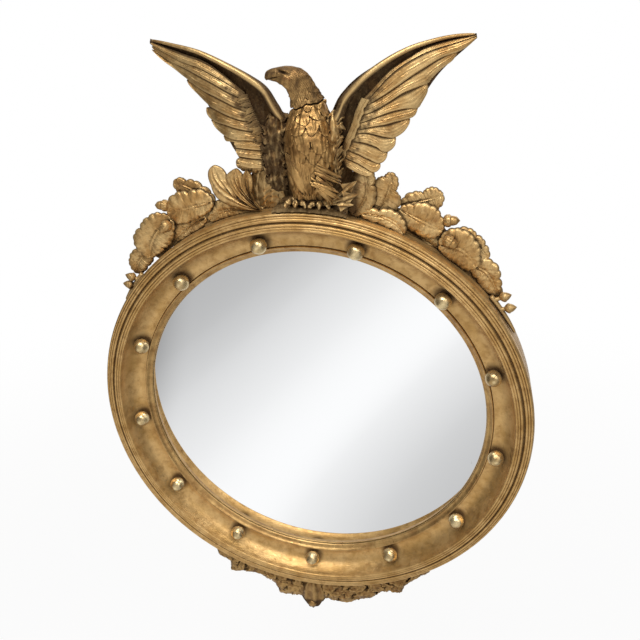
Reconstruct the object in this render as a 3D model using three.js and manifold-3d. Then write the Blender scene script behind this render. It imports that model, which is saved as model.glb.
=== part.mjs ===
// Girandole mirror: a turned and gilded round frame with balls in its cove, a convex glass,
// a carved eagle crest, an oak spray on each shoulder and a leafy apron below.
// Millimetres, +Z up. The wall is the plane y = 0 and the mirror faces -Y.
// The origin is the centre of the round frame, on the wall.

import * as THREE from 'three';
import { mergeVertices } from 'three/addons/utils/BufferGeometryUtils.js';
import Module from 'manifold-3d';

const wasm = await Module();
wasm.setup();

// ---------- Driving sizes ----------

const GAP = 0.3; // left between two pieces that touch
const SIDES = { left: -1, right: 1 }; // as seen from the front

// Turned frame ring, from the sight edge outward; depths are measured forward from the wall
const SIGHT_R = 224;
const SLIP_FACE = 8;
const SLIP_EDGE = 1.2;
const SLIP_CREST = 6.2;
const FLANGE_WIDTH = 4.2;
const FLANGE_DEPTH = 25;
const COVE_STEP = 5; // how far the cove's floor stands in front of the flange
const COVE_FLOOR_WIDTH = 3.7;
const COVE_WIDTH = 20.8;
const LIP_WIDTH = 10.3;
const LIP_RISE = 2.6;
const BAND_WIDTH = 10.3;
const BEAD_LAP = 0.6; // how far the beads overlap the groove between them
const SHOULDER_EASE = 1.6;
const SHOULDER_DROP = 5;
const FRAME_DEPTH = 56.5;
const GROOVE_FALL = 2.9; // how far the groove lies behind the front of the frame
const SHOULDER_FALL = 4.5;
const BACK_CHAMFER = 2;
const RIM_WIDTH = 11;
const LEDGE_DEPTH = 8;
const RING_SIDES = 60;

// Convex glass and the board behind it
const GLASS_PLAY = 2.7; // between the glass's edge and the flange's edge
const GLASS_SAG = 29;
const GLASS_THICKNESS = 3;
const BOARD_SHELF = 13.5; // width of the shelf that the board lies on
const BOARD_THICKNESS = 6;
const BOARD_LIP_WIDTH = 10;

// Balls in the cove
const BALL_COUNT = 13;
const BALL_R = 10.1;
const BALL_INSET = 4; // from the cove floor's outer edge to the balls' circle
const BALL_LIFT = 1.9; // from the level of the cove's floor to the back of a ball
const PIN_R = 1.6;
const PIN_LENGTH = 6.5;
const BALL_SIDES = 9;

// Screws, all with the same dome head
const SCREW_R = 1.5;
const SCREW_LENGTH = 9;
const HEAD_R = 3.2;
const HEAD_HEIGHT = 1.6;
const SCREW_SIDES = 8;
const BOARD_SCREWS = 3;
const SCREW_INSET = 6.6; // from the board's edge to its screws

// Strap hangers on the back ledge, each with a swinging ring
const HANGER_ANGLE = 66;
const STRAP_MARGIN = 0.4;
const STRAP_WIDTH = 9;
const STRAP_LENGTH = 19;
const STRAP_THICKNESS = 1.2;
const STRAP_SCREW_AT = 10.6;
const WIRE_R = 1.1;
const EYE_CLEARANCE = 0.35;
const EYE_WALL = 0.95;
const LOOP_CLEARANCE = 0.7;
const LOOP_LENGTH = 15.5;
const LOOP_CORNER = 1.4;

// Eagle: its middle, the plinth under its feet and the wings
const BODY_X = 7;
const CREST_DEPTH = 44; // the middle of the crest in front of the wall
const NECK_RISE = 106;
const NECK_SLOPE = 0.29;
const PERCH_RISE = 9; // from the top of the ring to the top of the plinth
const PERCH_LEFT = -37;
const PERCH_RIGHT = 48.3;
const PERCH_BACK = 11.7;
const PERCH_FRONT = 12;
const PERCH_BED = 4;
const PERCH_FALL = 7;
const PERCH_EASE = 2.6;
const PEG_R = 4.7;
const PEG_LENGTH = 14;
const TOE_R = 3.4;
const TOE_SPACING = 6.4;
const TOE_HALF = 2.6;
const TOE_LENGTH = 5.2;
const FOOT_LEFT = 11; // each foot beside the bird's middle
const FOOT_RIGHT = 12;
const LEG_PROUD = 3;
const SHIN_RISE = 8;
const KNEE_RISE = 21;
const THIGH_RISE = 29;
const THIGH_PROUD = 12;
const THIGH_HALF = 10.5;
const THIGH_DEPTH = 13;
const THIGH_HEIGHT = 19;
const ARROW_R = 1.9;
const ARROWHEAD_LENGTH = 15;
const ARROWHEAD_HALF = 6;
const WING_STATIONS = 25;
const WING_FEATHERS = 8;
const FEATHER_STEP = 5;
const EDGE_ROLL = 8.5;
const WING_EDGE = 2.6;

// Leaves: three layers, each laid on the one behind, all carried by the ring's outer wall
const LEAF_THICKNESS = 6.4;
const LEAF_EDGE = 2.4;
const LEAF_STATIONS = 12;
const LAYER_BACK = 25;
const LOBE_DEPTH = 0.24;
const ACORN_R = 6.6;
const ACORN_LENGTH = 19;
const STEM_R = 2.6;
const STEM_SIDES = 6;

// Apron under the frame
const APRON_BACK = 25;
const APRON_THICKNESS = 20;
const APRON_END_SHARE = 0.45;
const BOSS_R = 17;
const BOSS_DROP = 57;
const BOSS_DEPTH = 12;
const BOSS_OVERLAP = 10; // runs up behind the ring's edge before it is cut to it
const BOSS_SIDES = 10;
const SWAG_STATIONS = 27;

// ---------- Solids and shared shapes ----------

const rad = THREE.MathUtils.degToRad;
const point = (x, y, z) => new THREE.Vector3(x, y, z);

// A closed mesh with shared corners, no collapsed faces and its faces pointing out
function closed(geometry) {
  const bare = geometry.clone();
  bare.deleteAttribute('normal');
  bare.deleteAttribute('uv');
  const merged = mergeVertices(bare, 1e-4);
  const index = merged.index.array;
  const corners = merged.attributes.position;
  const kept = [];
  let volume = 0;
  for (let i = 0; i < index.length; i += 3) {
    const [a, b, c] = [index[i], index[i + 1], index[i + 2]];
    if (a === b || b === c || c === a) continue;
    kept.push(a, b, c);
    const [p, q, r] = [a, b, c].map((k) => new THREE.Vector3().fromBufferAttribute(corners, k));
    volume += p.dot(q.cross(r));
  }
  if (volume < 0) kept.reverse();
  merged.setIndex(kept);
  return merged;
}

function solidOf(geometry) {
  const mesh = closed(geometry);
  return new wasm.Manifold(new wasm.Mesh({
    numProp: 3,
    vertProperties: Float32Array.from(mesh.attributes.position.array),
    triVerts: Uint32Array.from(mesh.index.array),
  }));
}

function geometryOf(solid) {
  const mesh = solid.getMesh();
  const geometry = new THREE.BufferGeometry();
  geometry.setAttribute('position', new THREE.BufferAttribute(mesh.vertProperties, 3));
  geometry.setIndex(new THREE.BufferAttribute(mesh.triVerts, 1));
  return geometry;
}

function cut(geometry, ...tools) {
  const cutters = tools.map(solidOf);
  return geometryOf(cutters.reduce((solid, tool) => solid.subtract(tool), solidOf(geometry)));
}

function join(first, ...others) {
  const added = others.map(solidOf);
  return geometryOf(added.reduce((solid, piece) => solid.add(piece), solidOf(first)));
}

// Turned about the frame's axis from [radius, depth] corners that close or end on the axis
function turned(corners, sides) {
  const outline = corners.map(([r, depth]) => new THREE.Vector2(r, -depth));
  return closed(new THREE.LatheGeometry(outline, sides));
}

// Skin over a row of rings with equally many points, with both ends capped or joined together
function loft(rings, joined = false) {
  const around = rings[0].length;
  const corners = rings.flat();
  const faces = [];
  const last = joined ? rings.length : rings.length - 1;
  for (let i = 0; i < last; i += 1) {
    const near = i * around;
    const far = ((i + 1) % rings.length) * around;
    for (let k = 0; k < around; k += 1) {
      const next = (k + 1) % around;
      faces.push(near + k, near + next, far + k, near + next, far + next, far + k);
    }
  }
  if (!joined) {
    [0, rings.length - 1].forEach((end) => {
      const middle = corners.length;
      const centre = rings[end].reduce((sum, p) => sum.add(p), point(0, 0, 0));
      corners.push(centre.divideScalar(around));
      for (let k = 0; k < around; k += 1) {
        const a = end * around + k;
        const b = end * around + ((k + 1) % around);
        faces.push(...(end === 0 ? [middle, b, a] : [middle, a, b]));
      }
    });
  }
  const geometry = new THREE.BufferGeometry().setFromPoints(corners);
  geometry.setIndex(faces);
  return closed(geometry);
}

// Round section across a path, at one of its points
function sectionAcross(centre, along, side, half, depth, sides) {
  const across = side.clone().addScaledVector(along, -side.dot(along)).normalize();
  const out = new THREE.Vector3().crossVectors(along, across);
  return Array.from({ length: sides }, (_, k) => {
    const turn = (2 * Math.PI * k) / sides;
    return centre.clone()
      .addScaledVector(across, half * Math.cos(turn))
      .addScaledVector(out, depth * Math.sin(turn));
  });
}

// Tube or tapering stem through points, with a radius for each of them
function stemThrough(path, radii, sides, joined = false) {
  const count = path.length;
  const rings = path.map((centre, i) => {
    const before = path[joined ? (i + count - 1) % count : Math.max(i - 1, 0)];
    const after = path[joined ? (i + 1) % count : Math.min(i + 1, count - 1)];
    const along = after.clone().sub(before).normalize();
    return sectionAcross(centre, along, point(0, 1, 0), radii[i], radii[i], sides);
  });
  return loft(rings, joined);
}

function ellipsoid(centre, radii, around, rings) {
  const ball = new THREE.SphereGeometry(1, around, rings);
  ball.scale(radii.x, radii.y, radii.z);
  ball.translate(centre.x, centre.y, centre.z);
  return ball;
}

// Straight round bar along Y, from one depth to another
function peg(x, z, radius, fromDepth, toDepth, sides) {
  const bar = new THREE.CylinderGeometry(radius, radius, Math.abs(toDepth - fromDepth), sides);
  bar.translate(x, -(fromDepth + toDepth) / 2, z);
  return bar;
}

// A place on the frame: degrees clockwise from the top as seen from the front, and a radius
function onFrame(degrees, radius) {
  return { x: radius * Math.sin(rad(degrees)), z: radius * Math.cos(rad(degrees)) };
}

// ---------- Finishes ----------

const GOLD = { color: 0xa78548, roughness: 0.42, metalness: 0.85 };
const DARK_GOLD = { color: 0x7d5f36, roughness: 0.5, metalness: 0.8 };
const PALE_GOLD = { color: 0xcfc08a, roughness: 0.35, metalness: 0.85 };
const SILVERED = { color: 0xe4e5e6, roughness: 0.03, metalness: 1 };
const PINE = { color: 0x8a6a45, roughness: 0.85, metalness: 0 };
const BRASS = { color: 0xb08d4a, roughness: 0.4, metalness: 1 };
const STEEL = { color: 0x8f8f8c, roughness: 0.4, metalness: 1 };

const mirror = new THREE.Group();

function add(name, geometry, finish, parent = mirror) {
  const mesh = new THREE.Mesh(geometry, new THREE.MeshStandardMaterial(finish));
  mesh.name = name;
  parent.add(mesh);
  return mesh;
}

// ---------- Frame ring, slip, glass and board ----------

const slipR = SIGHT_R + SLIP_FACE;
const ringInnerR = slipR + GAP;
const rabbetR = slipR + FLANGE_WIDTH + GAP;
const boardR = rabbetR + BOARD_SHELF;
const rebateR = boardR + GAP;
const boardFront = LEDGE_DEPTH + BOARD_THICKNESS + GAP * 2;
const boardBack = boardFront - BOARD_THICKNESS;
const coveDepth = FLANGE_DEPTH + COVE_STEP;
const coveStartR = ringInnerR + COVE_FLOOR_WIDTH;
const coveLipR = coveStartR + COVE_WIDTH;
const coveTop = FRAME_DEPTH - LIP_RISE + BEAD_LAP;
const glassR = slipR + FLANGE_WIDTH - GLASS_PLAY;
const glassContact = FLANGE_DEPTH + GAP / 3;
const sphereR = (glassR ** 2 + GLASS_SAG ** 2) / (2 * GLASS_SAG);

// Depth of the glass's front face at a radius: it touches the slip at the sight edge
function glassFront(r) {
  const rise = (radius) => Math.sqrt(sphereR ** 2 - radius ** 2);
  return glassContact + rise(r) - rise(SIGHT_R);
}

// Stretch of an ellipse in the profile, as [radius, depth] corners
function arc(centreR, centreDepth, halfR, halfDepth, fromDeg, toDeg, steps) {
  return Array.from({ length: steps + 1 }, (_, i) => {
    const turn = rad(fromDeg + ((toDeg - fromDeg) * i) / steps);
    return [centreR + halfR * Math.sin(turn), centreDepth + halfDepth * Math.cos(turn)];
  });
}

const grooveR = coveLipR + LIP_WIDTH;
const grooveDepth = FRAME_DEPTH - GROOVE_FALL;
const shoulderR = grooveR + BAND_WIDTH;
const shoulderDepth = FRAME_DEPTH - SHOULDER_FALL;
const frameR = shoulderR + SHOULDER_EASE;
const rimR = frameR - BACK_CHAMFER;
const ringProfile = [
  [ringInnerR, FLANGE_DEPTH + GAP],
  [ringInnerR, coveDepth],
  ...arc(coveStartR, coveTop, COVE_WIDTH, coveDepth - coveTop, 0, 90, 5),
  ...arc(coveLipR + LIP_WIDTH / 2, grooveDepth, LIP_WIDTH / 2, GROOVE_FALL, -50, 90, 3),
  ...arc(grooveR + BAND_WIDTH / 2, grooveDepth - BEAD_LAP, BAND_WIDTH / 2, LIP_RISE, -55, 60, 2),
  [shoulderR, shoulderDepth],
  [frameR, shoulderDepth - SHOULDER_DROP],
  [frameR, LEDGE_DEPTH],
  [rimR, 0],
  [rimR - RIM_WIDTH, 0],
  [rimR - RIM_WIDTH, LEDGE_DEPTH],
  [rebateR, LEDGE_DEPTH],
  [rebateR, boardFront + GAP],
  [rabbetR, boardFront + GAP],
  [rabbetR, FLANGE_DEPTH + GAP],
  [ringInnerR, FLANGE_DEPTH + GAP],
];

const slipProfile = [
  [SIGHT_R, glassFront(SIGHT_R) + GAP],
  [SIGHT_R, glassFront(SIGHT_R) + GAP + SLIP_EDGE],
  [SIGHT_R + SLIP_FACE * 0.25, glassContact + SLIP_EDGE + SLIP_CREST * 0.4],
  [SIGHT_R + SLIP_FACE * 0.4, glassContact + SLIP_EDGE + SLIP_CREST * 0.28],
  [SIGHT_R + SLIP_FACE * 0.62, glassContact + SLIP_EDGE + SLIP_CREST * 0.85],
  [SIGHT_R + SLIP_FACE * 0.85, glassContact + SLIP_EDGE + SLIP_CREST],
  [slipR, glassContact + SLIP_EDGE + SLIP_CREST * 0.9],
  [slipR, FLANGE_DEPTH],
  [slipR + FLANGE_WIDTH, FLANGE_DEPTH],
  [slipR + FLANGE_WIDTH, glassFront(slipR + FLANGE_WIDTH) + GAP],
  [SIGHT_R, glassFront(SIGHT_R) + GAP],
];

const glassRings = [0, 0.34, 0.66, 0.86, 1].map((share) => share * glassR);
const glassProfile = [
  ...glassRings.map((r) => [r, glassFront(r)]),
  ...glassRings.toReversed().map((r) => [r, glassFront(r) - GLASS_THICKNESS]),
];

// The board's lip follows the back of the glass and presses it against the slip
const lipOuterR = rabbetR - GAP;
const lipFront = (r) => glassFront(r) - GLASS_THICKNESS - GAP;
const boardProfile = [
  [0, boardFront],
  [lipOuterR - BOARD_LIP_WIDTH - 2, boardFront],
  [lipOuterR - BOARD_LIP_WIDTH, lipFront(lipOuterR - BOARD_LIP_WIDTH)],
  [lipOuterR, lipFront(lipOuterR)],
  [lipOuterR, boardFront],
  [boardR, boardFront],
  [boardR, boardBack],
  [0, boardBack],
];

// ---------- Balls ----------

const ballCircleR = coveStartR + BALL_INSET;
const ballDepth = coveDepth + BALL_LIFT + BALL_R;
const ballAngles = Array.from({ length: BALL_COUNT }, (_, k) => ((k - 0.5) * 360) / BALL_COUNT);

function ball() {
  const neck = Math.sqrt(BALL_R ** 2 - PIN_R ** 2);
  const start = Math.asin(PIN_R / BALL_R) * THREE.MathUtils.RAD2DEG;
  return turned([
    [0, ballDepth - neck - PIN_LENGTH],
    [PIN_R, ballDepth - neck - PIN_LENGTH],
    ...arc(0, ballDepth, BALL_R, -BALL_R, start, 180, 6),
  ], BALL_SIDES);
}

const pinHoles = ballAngles.map((degrees) => {
  const { x, z } = onFrame(degrees, ballCircleR);
  const bottom = ballDepth - BALL_R - PIN_LENGTH;
  return peg(x, z, PIN_R + GAP, bottom, ballDepth, SCREW_SIDES);
});

// ---------- Screws ----------

// Dome-headed screw along Y: the head's underside is at the given depth, the tip points forward
function screw(x, z, seatDepth) {
  const body = turned([
    [0, seatDepth + SCREW_LENGTH],
    [SCREW_R, seatDepth + SCREW_LENGTH - SCREW_R],
    [SCREW_R, seatDepth],
    [HEAD_R, seatDepth],
    [HEAD_R * 0.8, seatDepth - HEAD_HEIGHT * 0.7],
    [0, seatDepth - HEAD_HEIGHT],
  ], SCREW_SIDES);
  return body.translate(x, 0, z);
}

const screwHole = (x, z, seatDepth) => (
  peg(x, z, SCREW_R + GAP, seatDepth - HEAD_HEIGHT, seatDepth + SCREW_LENGTH + GAP, SCREW_SIDES)
);

const boardSeat = boardBack - GAP;
const boardScrewSpots = Array.from({ length: BOARD_SCREWS }, (_, k) => (
  onFrame((360 / BOARD_SCREWS) * k, boardR - SCREW_INSET)
));
const boardScrewHoles = boardScrewSpots.map(({ x, z }) => screwHole(x, z, boardSeat));

// ---------- Hangers ----------

const hangerR = rebateR + STRAP_WIDTH / 2 + STRAP_MARGIN;
const strapFace = LEDGE_DEPTH - GAP;
const eyeR = WIRE_R + EYE_CLEARANCE + EYE_WALL;
const eyeDepth = strapFace - eyeR;
const strapSeat = strapFace - STRAP_THICKNESS - GAP;

// Built upright beside the frame's axis, with the eye at the origin's height
function strap() {
  const plate = new THREE.BoxGeometry(STRAP_WIDTH, STRAP_THICKNESS, STRAP_LENGTH);
  plate.translate(0, -(strapFace - STRAP_THICKNESS / 2), STRAP_LENGTH / 2);
  const barrel = new THREE.CylinderGeometry(eyeR, eyeR, STRAP_WIDTH, 12);
  const bore = new THREE.CylinderGeometry(eyeR - EYE_WALL, eyeR - EYE_WALL, STRAP_WIDTH * 2, 12);
  [barrel, bore].forEach((part) => part.rotateZ(Math.PI / 2).translate(0, -eyeDepth, 0));
  const hole = screwHole(0, STRAP_SCREW_AT, strapSeat);
  return cut(join(plate, barrel), bore, hole);
}

function loopRing() {
  const half = STRAP_WIDTH / 2 + LOOP_CLEARANCE + WIRE_R;
  const bow = Array.from({ length: 7 }, (_, i) => {
    const turn = (Math.PI * i) / 6;
    return [half * Math.cos(turn), -(LOOP_LENGTH - half) - half * Math.sin(turn)];
  });
  const centreLine = [
    [-half + LOOP_CORNER, 0],
    [half - LOOP_CORNER, 0],
    [half, -LOOP_CORNER],
    ...bow,
    [-half, -LOOP_CORNER],
  ].map(([x, z]) => point(x, -eyeDepth, z));
  return stemThrough(centreLine, centreLine.map(() => WIRE_R), 6, true);
}

// The strap lies along the ledge: upright at the frame's side, then carried round to its angle
function placeOnLedge(geometry, side) {
  geometry.translate(side * hangerR, 0, 0);
  geometry.rotateY(rad(side * (HANGER_ANGLE - 90)));
  return geometry;
}

const strapScrewHoles = Object.values(SIDES).map((side) => (
  placeOnLedge(screwHole(0, STRAP_SCREW_AT, strapSeat), side)
));

// ---------- Eagle and its perch ----------

// All that the frame ring fills, with the gap round it: what stands on the ring is cut by this
const ringRoom = turned([
  [0, -GAP],
  [frameR + GAP, -GAP],
  [frameR + GAP, FRAME_DEPTH * 2],
  [0, FRAME_DEPTH * 2],
], RING_SIDES);

// Round peg under the perch, standing in its hole in the top of the ring
function crestPeg(room) {
  const length = PEG_LENGTH + room + TOE_R;
  const bar = new THREE.CylinderGeometry(PEG_R + room, PEG_R + room, length, 10);
  bar.rotateX(Math.PI / 2);
  bar.translate(BODY_X, -CREST_DEPTH, frameR - PEG_LENGTH - room + length / 2);
  return bar;
}

const perchTop = frameR + PERCH_RISE;
const perchFront = CREST_DEPTH + PERCH_FRONT;
const perchBack = CREST_DEPTH - PERCH_BACK;

// Plinth shaped to the ring, with three toes of each foot curled over its front edge
function perch() {
  const stations = 8;
  const rings = Array.from({ length: stations + 1 }, (_, i) => {
    const share = i / stations;
    const x = THREE.MathUtils.lerp(PERCH_LEFT, PERCH_RIGHT, share);
    const fall = (2 * share - 1) ** 4;
    const top = perchTop - fall * PERCH_FALL;
    const low = Math.sqrt(frameR ** 2 - x ** 2) - PERCH_BED;
    return [
      point(x, -perchBack, low),
      point(x, -perchBack, top),
      point(x, -perchFront + PERCH_EASE * 2, top),
      point(x, -perchFront, top - PERCH_EASE),
      point(x, -perchFront + PERCH_EASE, low + PERCH_EASE),
      point(x, -perchFront + PERCH_EASE * 2, low),
    ];
  });
  const toes = feet.flatMap((x) => [-1, 0, 1].map((k) => (
    ellipsoid(
      point(x + k * TOE_SPACING, -perchFront - 1, perchTop - 1),
      point(TOE_HALF, TOE_LENGTH, TOE_R),
      6,
      4,
    )
  )));
  return join(cut(join(loft(rings), ...toes), ringRoom), crestPeg(0));
}

const feet = [BODY_X - FOOT_LEFT, BODY_X + FOOT_RIGHT];

// One section of the bird: beside its middle, in front of the crest's middle, above the plinth
const faceOn = (beside, proud, rise, half, depth, tilt = 0) => (
  { x: BODY_X + beside, y: -CREST_DEPTH - proud, z: perchTop + rise, half, depth, tilt }
);

// Level sections from the belly up to the neck joint, which slopes
const bodySections = [
  faceOn(-3, 1, 9, 12, 10),
  faceOn(-2, 2, 18, 19, 17),
  faceOn(1, 4, 32, 25, 22),
  faceOn(3, 6, 53, 29, 26),
  faceOn(2, 7, 72, 28, 27),
  faceOn(1, 6, 87, 24, 25),
  faceOn(0, 6, 98, 20, 21, 0.12),
  faceOn(0, 7, NECK_RISE, 18, 18, NECK_SLOPE),
];

// Up the neck, over the skull and down the hooked beak: tilt is the slope of each section
const headSections = [
  faceOn(0, 7, NECK_RISE + GAP, 18, 18, NECK_SLOPE),
  faceOn(-3, 10, NECK_RISE + 10, 15.5, 15, 0.24),
  faceOn(-7, 14, NECK_RISE + 19.5, 14.2, 13.6, 0.3),
  faceOn(-12.5, 17, NECK_RISE + 26.5, 14, 13, 0.52),
  faceOn(-20.7, 18, NECK_RISE + 29.2, 10.5, 11, 1.5),
  faceOn(-28.5, 18.5, NECK_RISE + 29.7, 7.4, 8, 9),
  faceOn(-34.5, 19, NECK_RISE + 29.5, 5.9, 5.4, -12),
  faceOn(-39, 19, NECK_RISE + 28.5, 4.1, 3.6, -3),
  faceOn(-41.2, 19, NECK_RISE + 25.4, 1.5, 1.4, -1.4),
];

function sectionRings(sections, sides, room) {
  return sections.map(({ x, y, z, half, depth, tilt }) => {
    const across = point(1, 0, tilt).normalize();
    if (tilt < 0) across.negate();
    return Array.from({ length: sides }, (_, k) => {
      const turn = (2 * Math.PI * k) / sides;
      return point(x, y, z)
        .addScaledVector(across, (half + room) * Math.cos(turn))
        .add(point(0, (depth + room) * Math.sin(turn), 0));
    });
  });
}

function eagleBody(room) {
  const legY = -CREST_DEPTH - LEG_PROUD;
  const legs = feet.map((x) => stemThrough(
    [
      point(x, legY, perchTop + GAP),
      point(x, legY, perchTop + SHIN_RISE),
      point(x * 0.9, legY - 1, perchTop + KNEE_RISE),
    ],
    [4.2, 5.5, 9].map((r) => r + room),
    8,
  ));
  const thighSize = point(THIGH_HALF, THIGH_DEPTH, THIGH_HEIGHT).addScalar(room);
  const thighs = feet.map((x) => (
    ellipsoid(point(x + 1, -CREST_DEPTH - THIGH_PROUD, perchTop + THIGH_RISE), thighSize, 8, 6)
  ));
  return join(loft(sectionRings(bodySections, 14, room)), ...legs, ...thighs);
}

// Three barbed arrows held against the right foot, fanned towards the right
function arrowSheaf() {
  const grip = point(BODY_X + 22.5, -perchFront + 6, perchTop + 2.2);
  const tips = [[54, 18, 31], [56, 22, 18], [51, 19, 5]].map(([beside, proud, rise]) => (
    point(BODY_X + beside, -CREST_DEPTH - proud, perchTop + rise)
  ));
  const parts = tips.flatMap((tip) => {
    const along = tip.clone().sub(grip).normalize();
    const neck = tip.clone().addScaledVector(along, -ARROWHEAD_LENGTH * 0.8);
    const head = new THREE.ConeGeometry(ARROWHEAD_HALF, ARROWHEAD_LENGTH, 4);
    head.scale(1, 1, 0.42);
    head.applyQuaternion(new THREE.Quaternion().setFromUnitVectors(point(0, 1, 0), along));
    const middle = tip.clone().addScaledVector(along, -ARROWHEAD_LENGTH / 2);
    head.translate(middle.x, middle.y, middle.z);
    return [stemThrough([grip, neck], [ARROW_R, ARROW_R], 5), head];
  });
  return join(ellipsoid(grip, point(3.4, 3, 2.6), 6, 4), ...parts);
}

// ---------- Wings ----------

// The two wings were carved apart. Their edges run from body to tip, as
// [outward, in front of the crest's middle, above the plinth]
const wingEdges = {
  left: {
    lead: [
      [5, 2, 76], [18, 7, 91], [32, 10, 110], [57, 12, 133.5], [104, 8, 149],
      [137, 0, 160], [170, -11, 168],
    ],
    trail: [
      [8, 0, 42], [38, 0, 33], [71, 0, 35], [92, -3, 69], [110, -7, 100], [131, -9, 129],
      [171.5, -13, 163],
    ],
  },
  right: {
    lead: [
      [16, 2, 78], [29, 6, 94], [42, 10, 117], [67, 12, 139], [115, 4, 163],
      [145, -4, 170], [172, -11, 172.5],
    ],
    trail: [
      [18, 0, 42], [50, 0, 33], [79, 0, 37], [98, -2, 67], [118, -5, 98], [140, -9, 135],
      [173, -13, 168],
    ],
  },
};

// Smooth line through the corners of one edge
function edgeCurve(corners, side) {
  return new THREE.CatmullRomCurve3(corners.map(([out, proud, rise]) => (
    point(side * out, -CREST_DEPTH - proud, perchTop + rise)
  )));
}

// Share of the feather step cut away at a place along the trailing edge: none at a feather's tip
function featherNotch(t) {
  const place = (t * WING_FEATHERS) % 1;
  return 1 - Math.sin(Math.PI * Math.min(1, place * 0.9 + 0.08)) ** 0.6;
}

function wing(name, room = 0) {
  const side = SIDES[name];
  const leadingEdge = edgeCurve(wingEdges[name].lead, side);
  const trailingEdge = edgeCurve(wingEdges[name].trail, side);
  const rings = Array.from({ length: WING_STATIONS + 1 }, (_, i) => {
    const t = i / WING_STATIONS;
    const lead = leadingEdge.getPoint(t);
    const trail = trailingEdge.getPoint(t);
    const chord = trail.clone().sub(lead);
    const taper = THREE.MathUtils.smoothstep(1 - t, 0, 0.85) * 0.8 + 0.2;
    const outward = chord.clone().normalize();
    trail.addScaledVector(outward, room - FEATHER_STEP * featherNotch(t) * taper);
    lead.addScaledVector(outward, -room);
    const at = (share, proud) => {
      const p = lead.clone().lerp(trail, share);
      p.y -= proud + Math.sign(proud) * room;
      return p;
    };
    return [
      at(0, WING_EDGE * 0.1),
      at(0.05, EDGE_ROLL * 0.8 * taper),
      at(0.13, EDGE_ROLL * taper),
      at(0.24, EDGE_ROLL * 0.35 * taper),
      at(0.5, EDGE_ROLL * 0.62 * taper),
      at(0.8, EDGE_ROLL * 0.42 * taper),
      at(1, WING_EDGE * 0.5),
      at(1, -WING_EDGE * 0.5),
      at(0.45, -WING_EDGE * 1.5 * taper),
      at(0.08, -WING_EDGE * 2 * taper),
    ];
  });
  return loft(rings);
}

// ---------- Leaves, acorns and stems ----------

// Place in the face view from [degrees clockwise from the top, distance above the ring]
function aboveRing([degrees, rise]) {
  const { x, z } = onFrame(degrees, frameR + rise);
  return point(x, 0, z);
}

// Width along a leaf, as a share of its half width
const LEAF_FORMS = {
  oak: (t, lobes) => {
    const swell = Math.sin(Math.PI * Math.min(1, 0.08 + 0.9 * t)) ** 0.6;
    return swell * (1 - LOBE_DEPTH * (0.5 + 0.5 * Math.cos(2 * Math.PI * (lobes * t + 0.15))));
  },
  plain: (t) => Math.sin(Math.PI * Math.min(1, 0.1 + 0.86 * t)) ** 0.7,
  fan: (t) => 0.42 + 0.58 * t,
};

// A leaf lies flat at its layer, crowned in front, along a curved midrib from base to tip
function leaf(spec, room = 0) {
  const { base, tip, bend = 0, half, lobes = 3, form = 'oak', layer = 0 } = spec;
  const start = aboveRing(base);
  const end = aboveRing(tip);
  const along = end.clone().sub(start);
  const side = point(along.z, 0, -along.x).normalize();
  const middle = start.clone().lerp(end, 0.5).addScaledVector(side, bend * 2);
  const midrib = new THREE.QuadraticBezierCurve3(start, middle, end);
  const back = LAYER_BACK + layer * (LEAF_THICKNESS + GAP);
  const rings = Array.from({ length: LEAF_STATIONS + 1 }, (_, i) => {
    const t = i / LEAF_STATIONS;
    const tangent = midrib.getTangent(t);
    const out = point(tangent.z, 0, -tangent.x);
    const centre = midrib.getPoint(t);
    if (i === 0) centre.addScaledVector(tangent, -room);
    if (i === LEAF_STATIONS) centre.addScaledVector(tangent, room);
    const width = half * LEAF_FORMS[form](t, lobes) + room;
    const rise = Math.sin(Math.PI * Math.min(1, 0.12 + 0.8 * t)) ** 0.5;
    const crown = (LEAF_THICKNESS - LEAF_EDGE) * rise;
    const at = (share, depth) => {
      const p = centre.clone().addScaledVector(out, width * share);
      p.y = -depth;
      return p;
    };
    return [
      at(-1, back + LEAF_EDGE + room),
      at(-0.5, back + LEAF_EDGE + crown * 0.8 + room),
      at(0, back + LEAF_EDGE + crown + room),
      at(0.5, back + LEAF_EDGE + crown * 0.8 + room),
      at(1, back + LEAF_EDGE + room),
      at(1, back - room),
      at(-1, back - room),
    ];
  });
  return loft(rings);
}

// Acorn with its cup, pointing from its stalk towards its tip
function acorn({ base, tip, layer }) {
  const nut = turned([
    [0, 0],
    [ACORN_R * 0.75, 0],
    [ACORN_R, ACORN_LENGTH * 0.22],
    [ACORN_R, ACORN_LENGTH * 0.42],
    [ACORN_R * 0.84, ACORN_LENGTH * 0.46],
    [ACORN_R * 0.7, ACORN_LENGTH * 0.8],
    [0, ACORN_LENGTH],
  ], 8);
  const start = aboveRing(base);
  const end = aboveRing(tip);
  nut.rotateX(-Math.PI / 2).rotateY(Math.atan2(end.x - start.x, end.z - start.z));
  const depth = LAYER_BACK + layer * (LEAF_THICKNESS + GAP) + ACORN_R;
  return nut.translate(start.x, -depth, start.z);
}

// Stem that follows the ring's outer wall down from the end leaf, with its buds
function budStem({ side, from, to, buds, depth }) {
  const steps = 7;
  const places = Array.from({ length: steps + 1 }, (_, i) => {
    const { x, z } = onFrame(side * THREE.MathUtils.lerp(from, to, i / steps), frameR + STEM_R + GAP);
    return point(x, -depth, z);
  });
  const radii = places.map((_, i) => STEM_R * (1 - (0.5 * i) / steps));
  const main = stemThrough(places, radii, STEM_SIDES);
  const budParts = buds.flatMap(({ at, out, length }) => {
    const root = onFrame(side * at, frameR + STEM_R);
    const head = onFrame(side * (at + out), frameR + length);
    const rootPoint = point(root.x, -depth, root.z);
    const headPoint = point(head.x, -depth - 2, head.z);
    const stalk = stemThrough([rootPoint, headPoint], [STEM_R * 0.7, STEM_R * 0.6], STEM_SIDES);
    return [stalk, ellipsoid(headPoint, point(5.4, 5.2, 5.4), 8, 5)];
  });
  return cut(join(main, ...budParts), ringRoom);
}

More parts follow.
